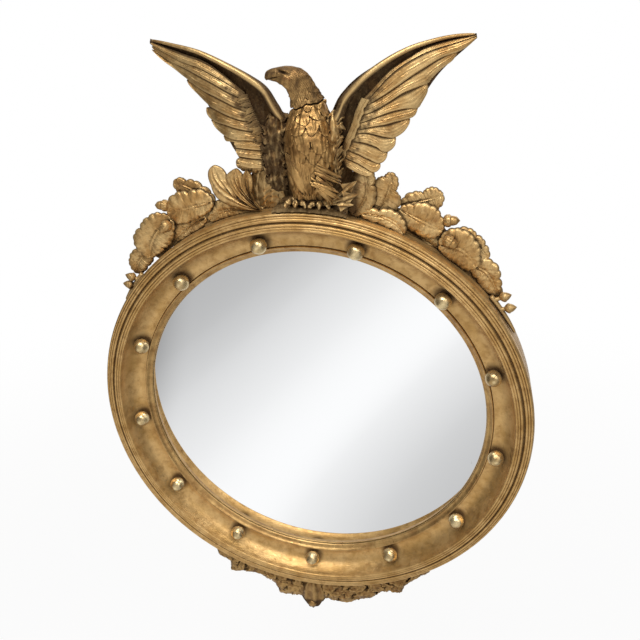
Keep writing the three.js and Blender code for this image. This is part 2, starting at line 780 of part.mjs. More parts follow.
// Oak leaves from the eagle outward and down, each end as [degrees from the top, above the ring]
const leaves = {
  tail_fan: { base: [-4.3, 54.9], tip: [-9.6, -4.1], half: 20, form: 'fan', layer: 0 },
  left_curled_inner: { base: [-11.5, 1.6], tip: [-13.7, 53.5], bend: -8, half: 12, form: 'plain', layer: 2 },
  left_curled_outer: { base: [-12.6, 0.7], tip: [-18.3, 61.3], bend: -5, half: 13, form: 'plain', layer: 1 },
  left_leaf_under: { base: [-13.5, 3.8], tip: [-25.2, 5.1], bend: 2, half: 17, layer: 0 },
  left_leaf_top: { base: [-20.9, 29.3], tip: [-27.8, 60.1], bend: -3, half: 16, lobes: 2, layer: 0 },
  left_leaf_broad: { base: [-22.2, 25.5], tip: [-33.1, 32.5], bend: -2, half: 24, layer: 1 },
  left_leaf_low: { base: [-25.3, 10.9], tip: [-34.9, 11.2], bend: 3, half: 17, lobes: 2, layer: 0 },
  left_leaf_long: { base: [-33.0, 33.3], tip: [-43.9, 15.2], bend: -4, half: 26, layer: 1 },
  left_leaf_end: { base: [-41.8, 16.3], tip: [-50.0, 14.8], bend: -2, half: 19, lobes: 2, layer: 0 },
  right_leaf_inner: { base: [12.4, -0.5], tip: [11.9, 46.0], bend: -2, half: 13, layer: 2 },
  right_leaf_tall: { base: [14.5, 0.9], tip: [16.4, 54.5], bend: 4, half: 19, layer: 1 },
  right_leaf_under: { base: [14.2, 6.7], tip: [23.6, 0.4], bend: -3, half: 14, lobes: 2, layer: 2 },
  right_leaf_top: { base: [19.3, 23.0], tip: [26.6, 54.2], bend: 3, half: 16, lobes: 2, layer: 0 },
  right_leaf_broad: { base: [20.2, 16.2], tip: [30.7, 24.6], bend: 2, half: 21, layer: 1 },
  right_leaf_low: { base: [22.6, 2.5], tip: [33.4, 4.7], bend: -2, half: 13, layer: 0 },
  right_leaf_back: { base: [32.4, 31.2], tip: [41.2, 29.3], bend: 3, half: 16, lobes: 2, layer: 0 },
  right_leaf_long: { base: [31.1, 21.1], tip: [41.1, 14.4], bend: 2, half: 21, layer: 1 },
  right_leaf_end: { base: [39.5, 22.9], tip: [48.8, 9.4], bend: 1, half: 17, layer: 0 },
};

// Leaves that a piece meets or lies on: it is cut to leave room for them
const meets = {
  left_leaf_under: ['tail_fan', 'left_leaf_top', 'left_leaf_low'],
  left_leaf_long: ['left_leaf_broad'],
  left_curled_outer: ['left_leaf_broad'],
  right_leaf_under: ['right_leaf_inner'],
  right_leaf_tall: ['right_leaf_broad'],
  right_leaf_end: ['right_leaf_back'],
  right_leaf_long: ['right_leaf_broad'],
  left_acorn_upper: ['left_leaf_broad'],
  right_acorn_upper: ['right_leaf_broad'],
  left_acorn_lower: ['left_leaf_long', 'left_leaf_broad'],
  right_acorn_lower: ['right_leaf_long', 'right_leaf_broad'],
};

const acorns = {
  left_acorn_upper: { base: [-31.6, 41.6], tip: [-33.4, 48.0], layer: 0 },
  left_acorn_lower: { base: [-32.8, 25.6], tip: [-36.1, 23.0], layer: 1.75 },
  right_acorn_upper: { base: [29.3, 31.7], tip: [31.7, 40.7], layer: 0 },
  right_acorn_lower: { base: [31.3, 19.4], tip: [34.2, 19.7], layer: 1.75 },
};

const stems = {
  left_bud_stem: {
    side: SIDES.left,
    from: 49,
    to: 58.5,
    depth: 34,
    buds: [{ at: 51.5, out: 1.3, length: 17 }],
  },
  right_bud_stem: {
    side: SIDES.right,
    from: 48.5,
    to: 59.5,
    depth: 34,
    buds: [{ at: 50, out: 1, length: 18 }, { at: 52.5, out: 1.4, length: 15 }],
  },
};

// ---------- Apron ----------

// How far each swag hangs below the ring, [degrees from the frame's foot, drop]
const swagOutlines = {
  left: [
    [2.8, 49], [8.7, 53], [11.2, 36], [15.9, 28.5], [21, 36], [23.6, 43], [25.2, 29],
    [28.8, 27], [32, 12], [35, 2],
  ],
  right: [
    [2.8, 47], [8.2, 50], [12.4, 45], [16, 42], [19.3, 31], [24, 38], [26, 30],
    [29, 22.5], [34.8, 17], [38.5, 2],
  ],
};

// Carved swag that hangs under the ring from the boss outwards
function swag(name) {
  const side = SIDES[name];
  const places = swagOutlines[name].map(([degrees, drop]) => point(degrees, drop, 0));
  const outline = new THREE.CatmullRomCurve3(places);
  const rings = Array.from({ length: SWAG_STATIONS + 1 }, (_, i) => {
    const { x: degrees, y: drop } = outline.getPoint(i / SWAG_STATIONS);
    const at = (share, depth) => {
      const { x, z } = onFrame(180 - side * degrees, frameR + drop * share);
      return point(x, -APRON_BACK - depth, z);
    };
    const thick = APRON_THICKNESS * Math.min(1, APRON_END_SHARE + drop / BOSS_DROP);
    return [
      at(-0.1, 0),
      at(-0.1, thick),
      at(0.5, thick),
      at(0.85, thick * 0.85),
      at(1, thick * 0.6),
      at(1, thick * 0.4),
      at(0.8, 0),
    ];
  });
  return cut(cut(loft(rings), boss(GAP)), ringRoom);
}

// Middle boss: a husk that swells, then narrows to its tip
function boss(room = 0) {
  const rings = [0, 0.25, 0.5, 0.75, 1].map((share) => {
    const z = -frameR + BOSS_OVERLAP - (BOSS_DROP + BOSS_OVERLAP) * share;
    const half = BOSS_R * (0.78 + 0.5 * Math.sin(Math.PI * share ** 1.2)) * (1 - 0.45 * share ** 4) + room;
    return Array.from({ length: BOSS_SIDES }, (_, k) => {
      const turn = (2 * Math.PI * k) / BOSS_SIDES;
      const y = -APRON_BACK - BOSS_DEPTH + (BOSS_DEPTH + room) * Math.sin(turn);
      return point(half * Math.cos(turn), y, z);
    });
  });
  return loft(rings);
}

// ---------- Frame, glass and hardware into the group ----------

const holes = [...pinHoles, ...boardScrewHoles, ...strapScrewHoles, crestPeg(GAP)];
add('frame_ring', cut(turned(ringProfile, RING_SIDES), ...holes), GOLD);
add('sight_slip', turned(slipProfile, RING_SIDES), DARK_GOLD);
add('mirror_glass', turned(glassProfile, RING_SIDES), SILVERED);
add('backboard', cut(turned(boardProfile, RING_SIDES), ...boardScrewHoles), PINE);

ballAngles.forEach((degrees, k) => {
  const { x, z } = onFrame(degrees, ballCircleR);
  const mesh = add(`ball_${String(k + 1).padStart(2, '0')}`, ball(), PALE_GOLD);
  mesh.position.set(x, 0, z);
});

boardScrewSpots.forEach(({ x, z }, k) => {
  add(`backboard_screw_${k + 1}`, screw(x, z, boardSeat), STEEL);
});

Object.entries(SIDES).forEach(([name, side]) => {
  add(`hanger_strap_${name}`, placeOnLedge(strap(), side), BRASS);
  add(`hanger_ring_${name}`, placeOnLedge(loopRing(), side), BRASS);
  add(`hanger_screw_${name}`, placeOnLedge(screw(0, STRAP_SCREW_AT, strapSeat), side), STEEL);
});

const bodyRoom = eagleBody(GAP);
add('perch', perch(), GOLD);
add('eagle_body', eagleBody(0), GOLD);
add('eagle_head', loft(sectionRings(headSections, 12, 0)), GOLD);
add('arrow_sheaf', arrowSheaf(), GOLD);
add('left_wing', cut(wing('left'), bodyRoom), GOLD);
add('right_wing', cut(wing('right'), bodyRoom), GOLD);
const wingRooms = [wing('left', GAP), wing('right', GAP)];

const roomsBy = (name) => (meets[name] ?? []).map((other) => leaf(leaves[other], GAP));

Object.entries(leaves).forEach(([name, spec]) => {
  add(name, cut(leaf(spec), ringRoom, ...wingRooms, ...roomsBy(name)), GOLD);
});
Object.entries(acorns).forEach(([name, spec]) => {
  add(name, cut(acorn(spec), ...roomsBy(name)), GOLD);
});
Object.entries(stems).forEach(([name, spec]) => add(name, budStem(spec), GOLD));

add('apron_swag_left', swag('left'), DARK_GOLD);
add('apron_swag_right', swag('right'), DARK_GOLD);
add('apron_boss', cut(boss(), ringRoom), DARK_GOLD);

export default mirror;
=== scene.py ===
"""Looks of a carved and gilded girandole mirror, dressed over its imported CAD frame.

The frame's axis is the Y axis at the origin, the wall is y = 0 and the mirror faces -Y.
Sizes are millimetres: `out` is sideways, `rise` is up over the perch and `proud` is forward
of the crest. Meshes are in metres, and Bench turns the one into the other.
"""

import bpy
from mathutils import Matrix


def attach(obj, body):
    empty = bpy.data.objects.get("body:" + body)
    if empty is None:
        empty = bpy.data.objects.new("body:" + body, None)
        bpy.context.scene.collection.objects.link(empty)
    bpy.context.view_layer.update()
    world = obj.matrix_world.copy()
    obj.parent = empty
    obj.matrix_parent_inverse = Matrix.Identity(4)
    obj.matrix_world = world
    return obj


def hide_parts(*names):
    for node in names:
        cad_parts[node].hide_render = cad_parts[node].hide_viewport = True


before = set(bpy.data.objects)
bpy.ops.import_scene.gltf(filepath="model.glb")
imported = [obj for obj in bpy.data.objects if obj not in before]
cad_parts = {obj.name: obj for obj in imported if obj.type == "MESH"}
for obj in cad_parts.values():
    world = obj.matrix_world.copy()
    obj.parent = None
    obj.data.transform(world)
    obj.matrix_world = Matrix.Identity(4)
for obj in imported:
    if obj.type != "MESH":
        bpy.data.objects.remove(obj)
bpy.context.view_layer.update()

import logging
import math
from contextlib import contextmanager
from dataclasses import dataclass, field
from enum import Enum
from typing import Callable, Iterator, Sequence

import bpy
import numpy as np
from mathutils import Matrix

log = logging.getLogger("girandole")

MM = 0.001
FRAME_R = 279.0
LEDGE_DEPTH = 8.0
CREST_DEPTH = 44.0
PERCH_TOP = 288.0
BODY_X = 7.0
NECK_RISE = 106.0
LAYER_BACK = 25.0
LAYER_STEP = 6.7
BEHIND = -0.5
QUARTER = math.pi / 2
FORWARD_AXIS = np.array([0.0, 1.0, 0.0])

Line = Sequence[tuple[float, ...]]
Piece = bpy.types.Object
Shape = Callable[[np.ndarray, np.ndarray], np.ndarray]


class Body(str, Enum):
    """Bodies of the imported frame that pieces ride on."""

    MIRROR = "mirror"
    RING_LEFT = "ring_left"
    RING_RIGHT = "ring_right"


class Slot(str, Enum):
    """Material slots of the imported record."""

    GILT_FRAME = "gilt_frame"
    DARK_SLIP = "dark_gilt_slip"
    GLASS = "mirror_glass"
    BOARD = "pine_board"
    PALE_BALL = "pale_gilt_ball"
    SCREW = "steel_screw"
    HANGER = "brass_hanger"
    CARVING = "carved_gilt"
    DARK_APRON = "dark_gilt_apron"


class Side(Enum):
    """Sides of the mirror as seen from the front."""

    LEFT = -1
    RIGHT = 1

    @property
    def word(self) -> str:
        """The side's name as the CAD nodes write it."""
        return self.name.lower()


# ---------- Shaping helpers ----------


def unit(rows: np.ndarray) -> np.ndarray:
    """Directions of rows of numbers, each of length one."""
    return rows / (np.linalg.norm(rows, axis=-1, keepdims=True) + 1e-9)


def stack(*columns: np.ndarray) -> np.ndarray:
    """Rows of places made of columns of coordinates."""
    return np.stack(np.broadcast_arrays(*columns), 1)


def smooth_line(corners: Line, count: int) -> np.ndarray:
    """Evenly spaced places on a smooth line through corners.

    Args:
        corners: Places that the line passes, in order.
        count: How many places to return.

    Returns:
        Array of count places with as many coordinates as the corners.
    """
    p = np.asarray(corners, float)
    padded = np.vstack([2 * p[0] - p[1], p, 2 * p[-1] - p[-2]])
    t = np.linspace(0, 1, 24, endpoint=False)[:, None]
    spans = []
    for a, b, c, d in zip(padded, padded[1:], padded[2:], padded[3:]):
        curve = 2 * b + (c - a) * t + (2 * a - 5 * b + 4 * c - d) * t**2
        spans.append(0.5 * (curve + (3 * b - a - 3 * c + d) * t**3))
    fine = np.vstack([*spans, p[-1:]])
    travelled = np.r_[0, np.cumsum(np.linalg.norm(np.diff(fine, axis=0), axis=1))]
    even = np.linspace(0, travelled[-1], count)
    return stack(*(np.interp(even, travelled, column) for column in fine.T))


def along(line: np.ndarray, t: np.ndarray) -> np.ndarray:
    """Places at shares t, 0 to 1, of a line of evenly spaced places."""
    at = np.clip(t, 0, 1) * (len(line) - 1)
    return stack(*(np.interp(at, np.arange(len(line)), column) for column in line.T))


def gauss(t: np.ndarray, middle: float, width: float) -> np.ndarray:
    """Smooth hump of height one round a middle."""
    return np.exp(-(((t - middle) / width) ** 2))


def on_ring(degrees: float, radius: float) -> np.ndarray:
    """Sideways and upright place on the ring, degrees clockwise from the top."""
    turn = math.radians(degrees)
    return np.array([radius * math.sin(turn), radius * math.cos(turn)])


def about_axis(p: np.ndarray, turn: float) -> np.ndarray:
    """Places turned clockwise about the frame's axis."""
    c, s = math.cos(turn), math.sin(turn)
    return stack(p[:, 0] * c + p[:, 2] * s, p[:, 1], -p[:, 0] * s + p[:, 2] * c)


def axes(start: Sequence[float], end: Sequence[float]) -> np.ndarray:
    """Heading from start to end, the direction across it and the one out of it, as rows."""
    heading = unit(np.subtract(end, start))
    across = unit(np.cross(heading, FORWARD_AXIS))
    return np.stack([heading, across, np.cross(across, heading)])


def ripple(p: np.ndarray, pitch: float, seed: int) -> np.ndarray:
    """Smooth unevenness of a hand-cut surface.

    Args:
        p: Places, in millimetres.
        pitch: Rough distance between its waves, in millimetres.
        seed: Picks one of many such surfaces.

    Returns:
        One height for each place, about -1 to 1.
    """
    rng = np.random.default_rng(seed)
    total = np.zeros(len(p))
    for _ in range(7):
        direction = rng.normal(size=3)
        direction /= np.linalg.norm(direction)
        wave = 2 * math.pi / (pitch * rng.uniform(0.6, 1.6))
        total += np.sin(p @ direction * wave + rng.uniform(0, 6.3))
    return total / 3.5


def hair(p: np.ndarray, pitch: float, seed: int) -> np.ndarray:
    """Relief of shaggy carved strokes that run up and down, about -1 to 1."""
    sway = ripple(p, 22, seed + 1)[:, None] * np.array([1.6, 0, 0])
    return ripple((p + sway) * [1, 0.6, 0.16], pitch, seed)


def scallops(turn: np.ndarray, down: np.ndarray, seed: int) -> np.ndarray:
    """Height of overlapping scale feathers or leaves.

    Args:
        turn: Place around, in feather widths.
        down: Place from the top down, in feather lengths.
        seed: Varies the feathers.

    Returns:
        Heights, 0 at a feather's root and 1 at its rounded end.
    """
    jitter = np.random.default_rng(seed).uniform(-0.18, 0.18, (40, 64))
    height = np.full(len(turn), 0.1)
    found = np.zeros(len(turn), bool)
    for back in (1, 0):
        row = np.floor(down).astype(int) - back
        shift = turn + 0.5 * (row % 2)
        column = np.floor(shift).astype(int)
        x = 2 * (shift - column) - 1
        size = 1.28 + jitter[row % 40, column % 64]
        reach = size * np.sqrt(np.clip(1 - 0.86 * x**2, 0, 1))
        progress = (down - row) / np.maximum(reach, 1e-3)
        inside = (progress <= 1) & ~found
        stroke = 0.1 * np.sin(x * 15 + progress * 2) * np.clip(progress, 0, 1)
        height = np.where(inside, progress * 0.8 + 0.25 * (1 - x**2) + stroke, height)
        found |= inside
    return height


class Bench:
    """Meshes added, selected, edited and shaped as by hand."""

    @staticmethod
    def add(primitive: Callable[..., object], **settings: object) -> Piece:
        """Adds a primitive with nothing else selected."""
        bpy.ops.object.select_all(action="DESELECT")
        primitive(**settings)
        return bpy.context.object

    @staticmethod
    def take(*pieces: Piece) -> None:
        """Selects the pieces alone and makes the first one active."""
        bpy.ops.object.select_all(action="DESELECT")
        for piece in pieces:
            piece.select_set(True)
        bpy.context.view_layer.objects.active = pieces[0]

    @staticmethod
    @contextmanager
    def edit(piece: Piece) -> Iterator[None]:
        """Edit mode on one piece with all of it selected."""
        Bench.take(piece)
        bpy.ops.object.mode_set(mode="EDIT")
        bpy.ops.mesh.select_all(action="SELECT")
        yield
        bpy.ops.object.mode_set(mode="OBJECT")

    @staticmethod
    def apply(piece: Piece, kind: str, **settings: object) -> None:
        """Adds a modifier, sets it and applies it.

        Args:
            piece: Mesh to change.
            kind: Modifier type.
            settings: Its settings by name.
        """
        Bench.take(piece)
        modifier = piece.modifiers.new(kind.lower(), kind)
        for key, value in settings.items():
            setattr(modifier, key, value)
        bpy.ops.object.modifier_apply(modifier=modifier.name)

    @staticmethod
    def places(piece: Piece, scale: float = MM) -> np.ndarray:
        """Vertices of a piece as places, in millimetres or in another scale."""
        co = np.zeros(len(piece.data.vertices) * 3)
        piece.data.vertices.foreach_get("co", co)
        return co.reshape(-1, 3) / scale

    @staticmethod
    def move(piece: Piece, places: np.ndarray, scale: float = MM) -> None:
        """Moves the vertices of a piece to places in millimetres or in another scale."""
        piece.data.vertices.foreach_set("co", (np.asarray(places, float) * scale).ravel())
        piece.data.update()

    @staticmethod
    def paint(piece: Piece, values: np.ndarray | float, name: str = "tone_and_shade") -> None:
        """Stores numbers on a piece's vertices, under a name that its material reads: by default how
        dark its gilding is painted, for its own tone and for painted shade.
        """
        filled = np.zeros(len(piece.data.vertices), np.float32)
        filled[:] = values
        layers = piece.data.attributes
        layer = layers.get(name) or layers.new(name, "FLOAT", "POINT")
        layer.data.foreach_set("value", filled)

    @staticmethod
    def copy(piece: Piece) -> Piece:
        """Copy of a piece with its own mesh."""
        twin = piece.copy()
        twin.data = piece.data.copy()
        bpy.context.scene.collection.objects.link(twin)
        return twin

    @staticmethod
    def outward(piece: Piece, weld: float = 1e-6) -> None:
        """Merges doubles closer than weld and turns every face of the piece outwards."""
        with Bench.edit(piece):
            bpy.ops.mesh.remove_doubles(threshold=weld)
            bpy.ops.mesh.dissolve_degenerate(threshold=1e-7)
            bpy.ops.mesh.select_all(action="SELECT")
            bpy.ops.mesh.normals_make_consistent(inside=False)

    @staticmethod
    def join(pieces: Sequence[Piece]) -> Piece:
        """Joins pieces into the first of them."""
        Bench.take(*pieces)
        bpy.ops.object.join()
        return pieces[0]

    @staticmethod
    def assemble(pieces: Sequence[Piece]) -> Piece:
        """Joins closed forms into the first of them and turns all faces outwards."""
        whole = Bench.join(pieces)
        Bench.outward(whole, 1e-8)
        return whole

    @staticmethod
    def remove(*pieces: Piece) -> None:
        """Throws tools and patterns away."""
        for piece in pieces:
            bpy.data.objects.remove(piece)

    @staticmethod
    def sheet(columns: int, rows: int) -> Piece:
        """Flat slab over u 0 to 1 and v -1 to 1: its front at z 0 and its back at z -1."""
        grid = bpy.ops.mesh.primitive_grid_add
        piece = Bench.add(grid, x_subdivisions=columns, y_subdivisions=rows, size=2)
        Bench.apply(piece, "SOLIDIFY", thickness=1.0, offset=-1.0, use_even_offset=False)
        u, v, h = Bench.places(piece, 1).T
        Bench.move(piece, stack((u + 1) / 2, v, np.where(h < BEHIND, -1.0, 0.0)), 1)
        return piece

    @staticmethod
    def slab(pattern: Piece) -> tuple[Piece, np.ndarray, np.ndarray, np.ndarray]:
        """Copy of a sheet, with its shares along, its shares across and its heights."""
        piece = Bench.copy(pattern)
        return (piece, *Bench.places(piece, 1).T)

    @staticmethod
    def round_form(sides: int, rings: int, shape: Shape) -> Piece:
        """Closed form made from a sphere whose poles become the two ends.

        Args:
            sides: Faces around.
            rings: Faces from end to end.
            shape: Gives places from shares along (0 to 1) and turns around.

        Returns:
            The new piece.
        """
        ball = bpy.ops.mesh.primitive_uv_sphere_add
        piece = Bench.add(ball, segments=sides, ring_count=rings, radius=1)
        x, y, z = Bench.places(piece, 1).T
        Bench.move(piece, shape(1 - np.arccos(np.clip(z, -1, 1)) / math.pi, np.arctan2(y, x)))
        Bench.outward(piece)
        return piece

    @staticmethod
    def egg(sides: int, rings: int, centre: Sequence[float], radii: np.ndarray) -> Piece:
        """Oval form round a centre.

        Args:
            sides: Faces around.
            rings: Faces from end to end.
            centre: Its middle.
            radii: Three rows: two radii across and the one from the middle to its end.

        Returns:
            The new piece.
        """

        def shape(u: np.ndarray, turn: np.ndarray) -> np.ndarray:
            """Places on the oval."""
            wide = np.sin(math.pi * u)
            cut = stack(wide * np.cos(turn), wide * np.sin(turn), np.cos(math.pi * u))
            return centre + cut @ radii

        return Bench.round_form(sides, rings, shape)

    @staticmethod
    def tube(path: Line, radii: Sequence[float], sides: int, rings: int, flat: float = 1) -> Piece:
        """Round bar along a path with closed, rounded ends.

        Args:
            path: Places of its middle line.
            radii: Radii from end to end.
            sides: Faces around.
            rings: Faces from end to end.
            flat: Thickness forward as a share of the width.

        Returns:
            The new piece.
        """
        line = smooth_line(path, 160)
        tangents = unit(np.gradient(line, axis=0))

        def shape(u: np.ndarray, turn: np.ndarray) -> np.ndarray:
            """Places on the bar."""
            tangent = along(tangents, u)
            across = unit(np.cross(FORWARD_AXIS, tangent))
            r = np.interp(u, np.linspace(0, 1, len(radii)), radii)
            r = (r * np.sqrt(np.clip(1 - (2 * u - 1) ** 30, 0, 1)))[:, None]
            c, s = np.cos(turn)[:, None], np.sin(turn)[:, None]
            return along(line, u) + across * r * c + np.cross(tangent, across) * r * flat * s

        return Bench.round_form(sides, rings, shape)

    @staticmethod
    def turned(profile: Line, steps: int) -> Piece:
        """Turned piece about the frame's axis.

        Args:
            profile: Closed run of (radius, depth) corners.
            steps: Faces around.

        Returns:
            The new piece.
        """
        piece = Bench.add(bpy.ops.mesh.primitive_circle_add, vertices=len(profile), radius=1)
        Bench.move(piece, np.array([(r, -depth, 0) for r, depth in profile]))
        with Bench.edit(piece):
            bpy.ops.mesh.spin(
                steps=steps, angle=2 * math.pi, center=(0, 0, 0), axis=(0, 1, 0), dupli=False
            )
        Bench.outward(piece, 2e-6)
        return piece

    @staticmethod
    def hollows(piece: Piece, rounds: int, depth: float) -> None:
        """Stores how hollow each place of a piece is: 0 on ridges, 0.5 on flats, 1 in hollows.

        Args:
            piece: Finished mesh.
            rounds: How far around each place is looked at.
            depth: Depth that counts as fully hollow, in millimetres.
        """
        mesh = piece.data
        co = Bench.places(piece)
        edges = np.zeros(len(mesh.edges) * 2, int)
        mesh.edges.foreach_get("vertices", edges)
        a, b = edges.reshape(-1, 2).T
        degree = np.bincount(edges, minlength=len(co))
        smooth = co.copy()
        for _ in range(rounds):
            total = np.zeros_like(co)
            np.add.at(total, a, smooth[b])
            np.add.at(total, b, smooth[a])
            smooth = total / np.maximum(degree, 1)[:, None]
        normals = np.zeros(len(co) * 3)
        mesh.vertices.foreach_get("normal", normals)
        sunk = ((smooth - co) * normals.reshape(-1, 3)).sum(1) / depth
        Bench.paint(piece, np.clip(0.5 + sunk / 2, 0, 1), "hollow")


# ---------- Finishes ----------


def linear(shade: str) -> tuple[float, float, float, float]:
    """Linear colour of a hex shade."""
    parts = [int(shade[k : k + 2], 16) / 255 for k in (0, 2, 4)]
    line = [c / 12.92 if c <= 0.04045 else ((c + 0.055) / 1.055) ** 2.4 for c in parts]
    return (*line, 1.0)


@dataclass
class NodeBoard:
    """Emptied node tree of a material or a world, with short ways to add and wire nodes."""

    owner: bpy.types.Material | bpy.types.World

    def __post_init__(self) -> None:
        """Empties the tree."""
        self.owner.use_nodes = True
        self.tree = self.owner.node_tree
        self.tree.nodes.clear()

    def add(self, kind: str, feeds: dict[int | str, object] | None = None, **settings: object):
        """Adds a node.

        Args:
            kind: Its type without the leading word ShaderNode.
            feeds: Sockets that are linked to its inputs, or values that they are set to.
            settings: Its properties.

        Returns:
            The node.
        """
        node = self.tree.nodes.new(f"ShaderNode{kind}")
        for key, value in settings.items():
            setattr(node, key, value)
        for key, value in (feeds or {}).items():
            if isinstance(value, bpy.types.NodeSocket):
                self.tree.links.new(value, node.inputs[key])
            else:
                node.inputs[key].default_value = value
        return node

    def noise(
        self,
        scale: float,
        detail: float = 4,
        rough: float = 0.55,
        stretch: tuple[float, float, float] = (1, 1, 1),
    ) -> bpy.types.NodeSocket:
        """Noise over the piece's own coordinates.

        Args:
            scale: Waves per metre.
            detail: How many finer layers it has.
            rough: How strong they are.
            stretch: Scale of each axis.

        Returns:
            Its height, 0 to 1.
        """
        own = self.add("TexCoord").outputs["Object"]
        place = self.add("Mapping", {"Vector": own, "Scale": stretch}).outputs[0]
        feeds = {"Vector": place, "Scale": scale, "Detail": detail, "Roughness": rough}
        return self.add("TexNoise", feeds).outputs["Fac"]

    def span(
        self, value: object, low: float, high: float, to_low: float = 0, to_high: float = 1
    ) -> bpy.types.NodeSocket:
        """A value moved from one range to another, smoothly and clamped."""
        feeds = {"Value": value, "From Min": low, "From Max": high}
        feeds |= {"To Min": to_low, "To Max": to_high}
        return self.add("MapRange", feeds, interpolation_type="SMOOTHSTEP").outputs[0]

    def math(self, kind: str, a: object, b: object = 0.0) -> bpy.types.NodeSocket:
        """Result of a sum on two values, clamped to 0 to 1."""
        return self.add("Math", {0: a, 1: b}, operation=kind, use_clamp=True).outputs[0]

    def blend(self, share: object, a: object, b: object) -> bpy.types.NodeSocket:
        """Two colours mixed by a share."""
        return self.add("Mix", {0: share, 6: a, 7: b}, data_type="RGBA").outputs[2]

    def attribute(self, name: str) -> bpy.types.NodeSocket:
        """A number stored on the piece's vertices."""
        return self.add("Attribute", attribute_name=name).outputs["Fac"]

    def bump(self, height: object, distance: float, strength: float, **below: object):
        """Bump from a height, over an earlier bump if one is given as Normal."""
        feeds = {"Height": height, "Distance": distance, "Strength": strength, **below}
        return self.add("Bump", feeds).outputs[0]

    def finish(self, feeds: dict[int | str, object]) -> bpy.types.Material:
        """Wires a fed surface shader to the output and returns the material."""
        shader = self.add("BsdfPrincipled", feeds)
        self.add("OutputMaterial", {0: shader.outputs[0]})
        return self.owner


@dataclass(frozen=True)
class Gilding:
    """Old leaf gilding over red bole, rubbed on its ridges and brown in its hollows, with painted
    highlights on its ridges and painted shade where ambient occlusion finds it closed in.
    """

    name: str
    bright: str
    mid: str
    deep: str
    pit: str
    bole_share: float = 0.3
    metallic: float = 0.78
    rough: float = 0.4
    shade_reach: float = 0.009
    grime_and_shade_share: float = 1.0
    bole: str = "8a5230"
    grain: float = 900

    def material(self) -> bpy.types.Material:
        """Makes the material."""
        board = NodeBoard(bpy.data.materials.new(self.name))
        bright, deep = linear(self.bright), linear(self.deep)
        patches = board.span(board.noise(38, 5, 0.6), 0.34, 0.66)
        leaf = board.blend(patches, linear(self.mid), bright)
        clouds = board.span(board.noise(95, 4, 0.65), 0.44, 0.72)
        leaf = board.blend(board.math("MULTIPLY", clouds, 0.6), leaf, deep)
        hollow = board.attribute("hollow")
        # Ridges painted paler towards the bright leaf: rubbed gilding and a painted highlight.
        worn_and_highlit = board.span(hollow, 0.44, 0.22)
        leaf = board.blend(board.math("MULTIPLY", worn_and_highlit, 0.7), leaf, bright)
        rubbed = board.span(board.noise(60, 6, 0.7), 0.56, 0.7)
        rubbed = board.math("MULTIPLY", rubbed, self.bole_share)
        leaf = board.blend(rubbed, leaf, linear(self.bole))
        sunk = board.span(hollow, 0.54, 0.86)
        # Painted shade: the ambient occlusion node darkens the leaf where nearby surfaces close in
        # over it, on top of the brown grime in hollows and the numbers painted on each piece.
        shade = board.add("AmbientOcclusion", {"Distance": self.shade_reach}, samples=8)
        shut = board.span(shade.outputs["AO"], 0.82, 0.3)
        grime_and_shade = board.math("MAXIMUM", board.math("MULTIPLY", sunk, 0.85), shut)
        grime_and_shade = board.math("MULTIPLY", grime_and_shade, self.grime_and_shade_share)
        grime_and_shade = board.math("MAXIMUM", grime_and_shade, board.attribute("tone_and_shade"))
        grime_and_shade = board.math("MULTIPLY", grime_and_shade, board.span(board.noise(420, 3), 0.2, 0.5, 0.8, 1))
        colour = board.blend(grime_and_shade, leaf, linear(self.pit))
        specks = board.span(board.noise(self.grain, 2), 0.6, 0.74)
        colour = board.blend(board.math("MULTIPLY", specks, 0.4), colour, deep)
        rough = board.span(board.noise(160, 4), 0.3, 0.7, self.rough - 0.07, self.rough + 0.1)
        fine = board.bump(board.noise(self.grain * 1.6, 3), 0.0002, 0.5)
        return board.finish(
            {
                "Base Color": colour,
                "Specular IOR Level": 0.15,
                "Metallic": board.span(grime_and_shade, 0, 1, self.metallic, 0.1),
                "Roughness": board.math("MAXIMUM", rough, board.span(grime_and_shade, 0, 1, 0.2, 0.75)),
                "Normal": board.bump(board.noise(260, 4, 0.6), 0.0006, 0.35, Normal=fine),
            }
        )


@dataclass(frozen=True)
class SilveredGlass:
    """Convex mirror glass with faint foxing at its edge."""

    name: str = "silvered_glass"

    def material(self) -> bpy.types.Material:
        """Makes the material."""
        board = NodeBoard(bpy.data.materials.new(self.name))
        foxing = board.span(board.noise(70, 6, 0.7), 0.66, 0.8)
        share = board.math("MULTIPLY", foxing, board.attribute("edge"))
        return board.finish(
            {
                "Base Color": board.blend(share, linear("fbfcfd"), linear("8f8a82")),
                "Roughness": board.span(share, 0, 1, 0.015, 0.3),
                "Metallic": 1.0,
            }
        )


@dataclass(frozen=True)
class PineBoard:
    """Planed old pine, brown with age, with long grain and streaks."""

    name: str = "aged_pine"

    def material(self) -> bpy.types.Material:
        """Makes the material."""
        board = NodeBoard(bpy.data.materials.new(self.name))
        grain = board.noise(55, 5, 0.6, (9, 1, 0.35))
        colour = board.blend(board.span(grain, 0.35, 0.65), linear("6f5232"), linear("a07a4c"))
        streaks = board.span(board.noise(140, 3, 0.5, (8, 1, 0.12)), 0.55, 0.7)
        colour = board.blend(board.math("MULTIPLY", streaks, 0.6), colour, linear("4b331d"))
        darkening = board.span(board.noise(9, 4), 0.45, 0.7, 0, 0.5)
        return board.finish(
            {
                "Base Color": board.blend(darkening, colour, linear("523a22")),
                "Roughness": 0.82,
                "Normal": board.bump(grain, 0.0006, 0.5),
            }
        )


@dataclass(frozen=True)
class PlainMetal:
    """Screw or hanger metal with tarnish and fine scratches."""

    name: str
    colour: str
    tarnish: str
    rough: float

    def material(self) -> bpy.types.Material:
        """Makes the material."""
        board = NodeBoard(bpy.data.materials.new(self.name))
        patches = board.span(board.noise(320, 5, 0.65), 0.42, 0.7)
        scratches = board.noise(1500, 2, 0.5, (1, 1, 6))
        return board.finish(
            {
                "Base Color": board.blend(patches, linear(self.colour), linear(self.tarnish)),
                "Metallic": 1.0,
                "Roughness": board.span(patches, 0, 1, self.rough, self.rough + 0.25),
                "Normal": board.bump(scratches, 0.0001, 0.3),
            }
        )


